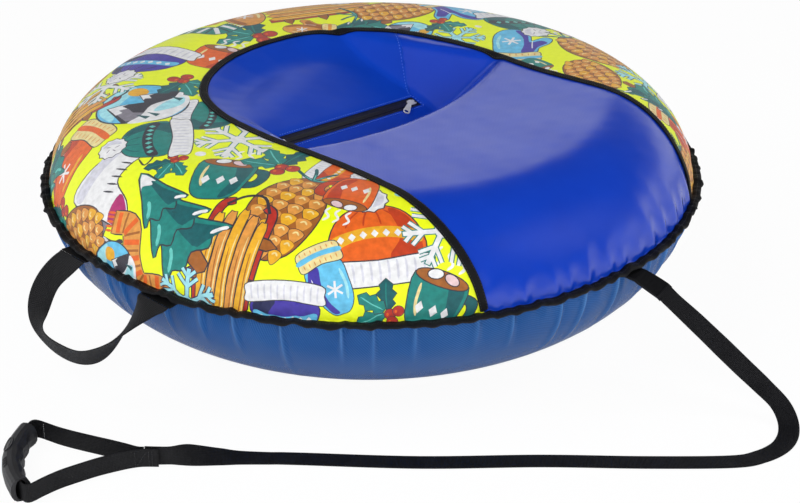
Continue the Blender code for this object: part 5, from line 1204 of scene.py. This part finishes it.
inks = []
for name in ink_names:
    colour = np.array(ink_colour(*INKS[name]))
    ink, shader = new_finish(f"ink_{name}", colour, 0.46, Sheen_Weight=0.05)
    places = cloth_places(ink)
    weave = plain_weave(ink, places, 0.0011)
    dry = patches(ink, places, 0.008, 5.0)
    spread = 0.10 if "lime" in name else 0.42
    tint(ink, shader, dry, colour * (1.0 - spread), np.minimum(colour * (1.0 + spread) + 0.004, 0.9))
    raise_surface(ink, shader, weave, 0.00008)
    inks.append(ink)
stand_for(printed_cloth, "printed_panel", *inks)
printed_cloth.data.polygons.foreach_set("material_index", ink_of_face.astype(np.int32))

# The seat: two pieces of glossy royal blue coated cloth, joined by the zip and by a short seam behind it.
# The cloth is drawn tight over the tube, with fine creases where it is gathered into the rim. The coat
# of the piece behind the zip is duller, and it lies in the shade of the slope: its colour is a little
# darker, painted shade.
ZIP_RUN = np.array((math.cos(ZIP_HEADING), math.sin(ZIP_HEADING), ZIP_SLOPE))
ZIP_SIDE = np.array((-math.sin(ZIP_HEADING), math.cos(ZIP_HEADING), SLOPE_TILT))


def zip_spot(along, across):
    """A plan point from its plan distance along the zip and its true distance across it."""
    length = np.linalg.norm(ZIP_RUN)
    return ZIP_MIDDLE + ZIP_RUN[:2] * along / length + (
        ZIP_SIDE[:2] * across * length / np.linalg.norm(np.cross(ZIP_RUN, ZIP_SIDE)))


def straight_run(a, b, step=0.004):
    return np.linspace(a, b, max(2, int(np.linalg.norm(b - a) / step)))[:-1]


def seam_crossing(line, origin, way):
    """Where a ray meets the seat's edge: the point, and the number of the step before it."""
    side = np.array((-way[1], way[0]))
    before = (line - origin) @ side
    best = None
    for i in np.flatnonzero((before[:-1] > 0) != (before[1:] > 0)):
        point = line[i] + (line[i + 1] - line[i]) * before[i] / (before[i] - before[i + 1])
        far = (point - origin) @ way
        if far > 0 and (best is None or far < best[0]):
            best = (far, i, point)
    return best[1], best[2]


seat_edge = beside_seam(0.0003)
half, slot = ZIP_LENGTH / 2, ZIP_SLOT_WIDTH / 2
seam_way = np.array((math.cos(math.radians(103.0)), math.sin(math.radians(103.0))))
zip_way = np.array((math.cos(ZIP_HEADING), math.sin(ZIP_HEADING)))
low_corner, high_corner = zip_spot(half, -slot), zip_spot(half, slot)
slot_left = -half - ZIP_LEFT_TUCK + ZIP_TAPE_LAP
high_left, low_left = zip_spot(slot_left, slot), zip_spot(slot_left, -slot)
low_step, low_end = seam_crossing(seat_edge, low_corner, -zip_way)
seam_step, seam_top = seam_crossing(seat_edge, high_corner, seam_way)
zip_outline = np.vstack([
    low_end[None], seat_edge[low_step + 1 : seam_step + 1], straight_run(seam_top, high_corner),
    straight_run(high_corner, high_left), straight_run(high_left, low_left), straight_run(low_left, low_end),
])
seat_outline = np.vstack([
    seat_edge[: low_step + 1], straight_run(low_end, low_corner), straight_run(low_corner, high_corner),
    straight_run(high_corner, seam_top), seat_edge[seam_step + 1 :], rim_run(SEAM_END, SEAM_START),
])

seat_pleats = np.vstack([
    pleat_table(84, 15, (0.0010, 0.0040), (0.0045, 0.0085), (0.04, 0.12)),
    pleat_table(130, 16, (0.0006, 0.0020), (0.0024, 0.0046), (0.014, 0.045)),
])


def soft_waves(flat, seed, count, low, high):
    """Slow waves in a sheet: a sum of plane waves with lengths from low to high, from -1 to 1."""
    draw = np.random.default_rng(seed)
    total = np.zeros(len(flat))
    for _ in range(count):
        turn, length, start = draw.uniform(0, math.tau), draw.uniform(low, high), draw.uniform(0, math.tau)
        across = flat[:, 0] * math.cos(turn) + flat[:, 1] * math.sin(turn)
        total += np.sin(across * math.tau / length + start)
    return total / count


def seat_relief(flat):
    """Height of the creases and soft waves of the seat's cloth."""
    reach, angle = np.hypot(*flat.T), np.arctan2(flat[:, 1], flat[:, 0])
    relief = pleats(seat_pleats, angle, TOP_FLAT - reach) * (reach < TOP_FLAT)
    along, across = zip_plan(*flat.T)
    zip_room = ease((np.maximum(np.abs(across) - 0.016, np.abs(along + 0.005) - 0.155)) / 0.03)
    relief += 0.0008 * soft_waves(flat, 3, 9, 0.07, 0.20) * zip_room * ease((FULL_FLAT - reach) / 0.03)
    relief += 0.00022 * soft_waves(flat, 4, 10, 0.018, 0.04) * zip_room * ease((FULL_FLAT - reach) / 0.03)
    return relief


coated_royal, shader = new_finish(
    "coated_cloth_royal_blue", (0.003, 0.038, 0.400), 0.21, Coat_Weight=0.15, Coat_Roughness=0.10)
places = cloth_places(coated_royal)
scrim = plain_weave(coated_royal, places, 0.0017)
shading = patches(coated_royal, places, 0.05, 4.0)
tint(coated_royal, shader, shading, (0.002, 0.032, 0.370), (0.005, 0.044, 0.440))
raise_surface(coated_royal, shader, scrim, 0.00003)
# A copy of the seat's coat for the piece behind the zip, with less gloss; its slightly darker colour is
# painted shade
dull_painted_shade_royal, shader = new_finish(
    "coated_cloth_royal_blue_dull_painted_shade", (0.003, 0.038, 0.385), 0.34, Specular_IOR_Level=0.14)
places = cloth_places(dull_painted_shade_royal)
tint(dull_painted_shade_royal, shader, patches(dull_painted_shade_royal, places, 0.05, 4.0), (0.002, 0.034, 0.350), (0.005, 0.048, 0.430))
for name, outline, rings, finish in (
    ("zip", zip_outline, (), dull_painted_shade_royal), ("seat", seat_outline, rim_rings, coated_royal),
):
    flat, faces, _ = cut_cloth(outline, [], 0.0052, rings)
    points = top_shape(flat) + top_normals(flat) * seat_relief(flat)[:, None]
    cloth = mesh_piece(f"{name}_piece_cloth", points, faces.tolist(), flat)
    stand_for(cloth, f"{name}_panel", finish)
    area = 0.5 * abs(np.cross(outline, np.roll(outline, -1, 0)).sum())
    sides = outline.max(axis=0) - outline.min(axis=0)
    float(min(area, sides.prod()))

# The rim binding: black woven tape, folded over the raw edges of top and bottom and sewn through.
# The stitching draws it up into small puckers all the way round.
BINDING_WIDTH, BINDING_HALF_HEIGHT = 0.011, 0.00225
TAPE_TUCK, TAPE_TILT, TAPE_BULGE = 0.0034, 0.0022, 0.0034
tape_section = np.array([
    (0.0, 1.0), (0.22, 1.08), (0.5, 1.12), (0.8, 1.06), (0.95, 0.72), (1.0, 0.0), (0.95, -0.72), (0.8, -1.0),
    (0.5, -1.0), (0.22, -1.0), (0.0, -1.0), (0.0, -0.58), (0.82, -0.58), (0.82, 0.58), (0.0, 0.58),
])
TAPE_STEPS = 1560
tape_angles = math.tau * np.arange(TAPE_STEPS) / TAPE_STEPS


def round_noise(angle, seed, count, low, high):
    """Uneven waves round the rim, from -1 to 1, with from low to high waves in a turn."""
    pick = np.random.default_rng(seed)
    total = np.zeros_like(angle)
    for _ in range(count):
        total += np.sin(angle * pick.integers(low, high) + pick.uniform(0, math.tau))
    return total / count


tape_rise = rim_wave(tape_angles)
tape_bulge = round_noise(tape_angles, 32, 6, 50, 150) * (1.0 + round_noise(tape_angles, 35, 4, 8, 40))
tape_bulge = np.maximum(0.0, tape_bulge)
tape_tuck = np.maximum(0.0, round_noise(tape_angles, 33, 5, 40, 120))
tape_tilt = round_noise(tape_angles, 34, 5, 40, 130)
rings = np.empty((TAPE_STEPS, len(tape_section), 3))
for j, (share, level) in enumerate(tape_section):
    outer = j < 11
    radius = RIM_RADIUS - BINDING_WIDTH + share * BINDING_WIDTH + share**2 * TAPE_TUCK * tape_tuck
    height = level * BINDING_HALF_HEIGHT + share**2 * TAPE_TILT * tape_tilt
    if outer and level > 0:
        height = height + TAPE_BULGE * tape_bulge * math.sin(math.pi * min(share * 0.8 + 0.1, 1.0))
    rings[:, j] = np.column_stack([
        radius * np.cos(tape_angles), radius * np.sin(tape_angles), RIM_HEIGHT + tape_rise + height])
sides = len(tape_section)
faces = []
for i in range(TAPE_STEPS):
    a, b = i * sides, (i + 1) % TAPE_STEPS * sides
    for j in range(sides):
        k = (j + 1) % sides
        faces.append((a + j, b + j, b + k, a + k))
across = np.cumsum(np.concatenate([[0.0], np.linalg.norm(np.diff(rings[0], axis=0), axis=1)]))
places = np.stack(np.broadcast_arrays(across[None], (tape_angles * RIM_RADIUS)[:, None]), axis=-1)
rim_tape = mesh_piece("rim_tape", rings.reshape(-1, 3), faces, places.reshape(-1, 2))
tape_weave = webbing_finish("binding_tape", 0.0011, 0.0014)
stand_for(rim_tape, "rim_binding", tape_weave)
sew = np.vstack([rings[::2, 2], rings[:1, 2]]) - (0.0, 0.0, 0.0001)
stitches("rim_stitching", sew, np.tile((0.0, 0.0, 1.0), (len(sew), 1)), 0.0036, 0.72, 0.00032, thread_black)

# The seat seam's binding: the same tape, folded round the seam allowance and sewn down flat.
# It shows as a black band with a soft crown, with a row of stitches along each side.
SEAM_TAPE_WIDTH = 0.0115
band_shares = np.array((-0.5, -0.47, -0.36, -0.18, 0.0, 0.18, 0.36, 0.47, 0.5))
band_heights = np.array((0.0006, 0.0016, 0.0021, 0.0024, 0.0025, 0.0024, 0.0021, 0.0016, 0.0006))
foot_shares = (0.46, -0.46)
band_line = even_steps(seam_line, 0.003)
band_right = -left_of(headings(band_line))
band_run = lengths_along(band_line)
pick = np.random.default_rng(41)
pull = sum(np.sin(band_run * math.tau / pick.uniform(0.012, 0.06) + pick.uniform(0, 6)) for _ in range(7)) / 7
keep = np.hypot(*band_line.T) < TOP_FLAT - 0.004
rows, outs = [], []
for share, height in zip(band_shares, band_heights):
    row = band_line + band_right * share * SEAM_TAPE_WIDTH
    out = top_normals(row)
    rows.append(top_shape(row) + out * (height * (1.0 + 0.22 * pull))[:, None])
    outs.append(out)
top_rows = np.stack(rows, axis=1)[keep]
foot = [top_shape(band_line + band_right * s * SEAM_TAPE_WIDTH) + outs[4] * 0.0005 for s in foot_shares]
rings = np.concatenate([top_rows, np.stack(foot, axis=1)[keep]], axis=1)
faces = ring_faces(len(rings), rings.shape[1])
across = np.concatenate([band_shares, foot_shares]) * SEAM_TAPE_WIDTH
places = np.stack(np.broadcast_arrays(across[None], band_run[keep][:, None]), axis=-1)
seat_band = mesh_piece("seat_seam_tape", rings.reshape(-1, 3), faces, places.reshape(-1, 2))
stand_for(seat_band, "seat_seam_binding", tape_weave)
for name, row, edge in (("outer", 2, 1), ("inner", 6, 7)):
    out = outs[edge][keep]
    stitches(f"seam_stitching_{name}", top_rows[:, row], out, 0.0036, 0.7, 0.0003, thread_black)

# The zip: two woven tapes with moulded teeth, metal stops, a nickel slider and its puller.
# Blue stitching holds the folded edges of the seat cloth to the tapes and closes the short seam.
zip_black, shader = new_finish("zip_tape_black", (0.012, 0.012, 0.018), 0.75)
places = solid_places(zip_black)
tape_places = add_node(zip_black, "ShaderNodeMapping", {"Rotation": (0.0, 0.0, -ZIP_HEADING)})
join_nodes(zip_black, (places, tape_places.inputs[0]))
weave = plain_weave(zip_black, tape_places.outputs[0], 0.0009)
tint(zip_black, shader, weigh(zip_black, weave, 0.5), (0.003, 0.003, 0.010), (0.024, 0.025, 0.050))
raise_surface(zip_black, shader, weave, 0.00015)
tooth_black, shader = new_finish("zip_tooth_black", (0.012, 0.012, 0.016), 0.35)
nickel, shader = new_finish("satin_nickel", (0.76, 0.75, 0.71), 0.36, 0.4)
places = solid_places(nickel)
rub = patches(nickel, places, 0.004, 5.0)
tint(nickel, shader, rub, (0.58, 0.57, 0.53), (0.92, 0.91, 0.87))
raise_surface(nickel, shader, patches(nickel, places, 0.0006, 2.0), 0.00004)
for node, look in (
    ("zip_tape_front", zip_black), ("zip_tape_back", zip_black), ("zip_coil_front", tooth_black),
    ("zip_coil_back", tooth_black), ("zip_top_stop_front", nickel), ("zip_top_stop_back", nickel),
    ("zip_bottom_stop", nickel), ("zip_slider", nickel), ("zip_puller", nickel),
):
    finish_solid(node, look)


def sew_flat(name, corners):
    """Stitches on the seat along straight runs of the cut."""
    runs = [straight_run(a, b, 0.003) for a, b in zip(corners, corners[1:])]
    line = np.vstack([*runs, corners[-1]])
    out = top_normals(line)
    raised = top_shape(line) + out * (seat_relief(line) + 0.0001)[:, None]
    stitches(name, raised, out, 0.0046, 0.52, 0.00040, thread_blue)


edge = slot + 0.0028
sew_flat("zip_stitching", [
    zip_spot(slot_left + 0.004, -edge), zip_spot(half + 0.003, -edge), zip_spot(half + 0.003, edge),
    zip_spot(slot_left + 0.004, edge),
])
seam_side = np.array((-seam_way[1], seam_way[0])) * 0.003
seam_ends = [high_corner + seam_side + seam_way * 0.006, seam_top + seam_side - seam_way * 0.008]
sew_flat("seat_seam_stitching", seam_ends)

# The carry handles: 38 mm black ribbed webbing, each end sewn to a tab under the rim.
# The left one hangs down to the front with a twist in it, and the right one hangs opposite.
HANDLE_WIDTH, HANDLE_THICKNESS, HANDLE_LENGTH = 0.038, 0.0016, 0.121
HANDLE_SPREAD = math.radians(20.9)
HANDLE_SHARES = [
    (-0.660, 0.000), (-0.741, 0.105), (-0.869, 0.259), (-0.943, 0.447), (-0.939, 0.645),
    (-0.862, 0.776), (-0.768, 0.861), (-0.588, 0.920), (-0.277, 0.912), (0.007, 0.838),
    (0.193, 0.668), (0.349, 0.467), (0.481, 0.235), (0.578, 0.087), (0.660, 0.000),
]
HANDLE_TWISTS = [
    0.0, 0.0, -3.7, -10.9, -9.2, 10.3, 38.1, 50.2, 52.8, 69.9, 97.1, 125.3, 148.0, 176.0, 180.0,
]
HANDLE_ROOT_GAP, HANDLE_TAPE_GAP = 0.0022, 0.0003
HANDLE_SLANT_LENGTH = 0.028
EDGE_PASSES, EDGE_FAST, EDGE_FREE = 60, 0.012, 0.02
UPWARD = np.array((0.0, 0.0, 1.0))
handle_webbing = webbing_finish("handle_webbing", 0.0021, 0.0030)
for side, heading, hang in (("left", -135.0, 64.0), ("right", 45.0, 82.0)):
    heading, hang = math.radians(heading), math.radians(hang)
    outwards = np.array((math.cos(heading), math.sin(heading), 0.0))
    along = np.array((-outwards[1], outwards[0], 0.0))
    down = outwards * math.cos(hang) - UPWARD * math.sin(hang)
    normal = np.cross(along, down)
    level = RIM_HEIGHT - BINDING_HALF_HEIGHT - HANDLE_TAPE_GAP - HANDLE_THICKNESS / 2
    reach = RIM_RADIUS * math.cos(HANDLE_SPREAD / 2) + HANDLE_ROOT_GAP
    reach += HANDLE_WIDTH / 2 * math.tan(HANDLE_SPREAD / 2)
    origin = outwards * reach + (0.0, 0.0, level)
    half_loop = RIM_RADIUS * math.sin(HANDLE_SPREAD / 2) / HANDLE_SHARES[-1][0]
    shares = np.array(HANDLE_SHARES)
    knots = np.column_stack([shares[:, 0] * half_loop, shares[:, 1] * HANDLE_LENGTH, HANDLE_TWISTS])
    run = curve_through(knots, 12)
    place = np.column_stack([run[:, 0], np.maximum(run[:, 1], 0.0), np.zeros(len(run))])
    ways = headings(place)
    twist = np.radians(run[:, 2])[:, None]
    width_way = np.cross(UPWARD, ways) * np.cos(twist) + UPWARD * np.sin(twist)
    # Both ends are cut at a slant, so that they lie flat along their tabs
    gone = lengths_along(place)
    for end, far in ((0, gone), (-1, gone[-1] - gone)):
        slant = -width_way[end, 1] / ways[end, 1]
        width_way = width_way + ways * (slant * np.clip(1.0 - far / HANDLE_SLANT_LENGTH, 0.0, 1.0))[:, None]
    edges = [place + width_way * HANDLE_WIDTH * s for s in (-0.5, 0.5)]
    room = np.minimum(gone, gone[-1] - gone)[:, None]
    for edge_line in edges:
        for _ in range(EDGE_PASSES):
            mean = (edge_line[:-2] + 2 * edge_line[1:-1] + edge_line[2:]) / 4
            edge_line[1:-1] += (mean - edge_line[1:-1]) * ease((room[1:-1] - EDGE_FAST) / EDGE_FREE)
    place, width_way = (edges[0] + edges[1]) / 2, (edges[1] - edges[0]) / HANDLE_WIDTH
    axes = np.array((along, down, normal))
    handle = webbing(f"handle_{side}_webbing", place @ axes + origin, width_way @ axes, HANDLE_WIDTH,
                     HANDLE_THICKNESS, ways @ axes)
    stand_for(handle, f"handle_{side}", handle_webbing, body=f"{side}_handle")
    for end in ("left", "right"):
        finish_solid(f"handle_{side}_tab_{end}", handle_webbing)

# The tow anchor: the strap's end, doubled and sewn under the rim. It shows as a black block of webbing.
finish_solid("tow_anchor", strap_webbing)

# The inner tube: matte black rubber, with a bonded patch that carries the valve.
# The valve has a rubber stem, a brass core with its pin, and a ribbed plastic cap.
tube_rubber, shader = new_finish("tube_rubber", (0.016, 0.016, 0.017), 0.55)
places = solid_places(tube_rubber)
bloom = patches(tube_rubber, places, 0.05, 5.0)
tint(tube_rubber, shader, bloom, (0.011, 0.011, 0.012), (0.034, 0.034, 0.036))
raise_surface(tube_rubber, shader, patches(tube_rubber, places, 0.0015, 3.0), 0.0002)
valve_brass, shader = new_finish("valve_brass", (0.72, 0.52, 0.20), 0.28, 1.0)
rub = patches(valve_brass, solid_places(valve_brass), 0.003, 4.0)
tint(valve_brass, shader, rub, (0.58, 0.40, 0.14), (0.80, 0.60, 0.26))
cap_plastic, shader = new_finish("cap_plastic", (0.020, 0.020, 0.021), 0.40)
raise_surface(cap_plastic, shader, patches(cap_plastic, solid_places(cap_plastic), 0.0008, 2.0), 0.0001)
for node, look in (
    ("inner_tube", tube_rubber), ("valve_patch", tube_rubber), ("valve_stem", tube_rubber),
    ("valve_core", valve_brass), ("valve_pin", valve_brass), ("valve_cap", cap_plastic),
):
    finish_solid(node, look)
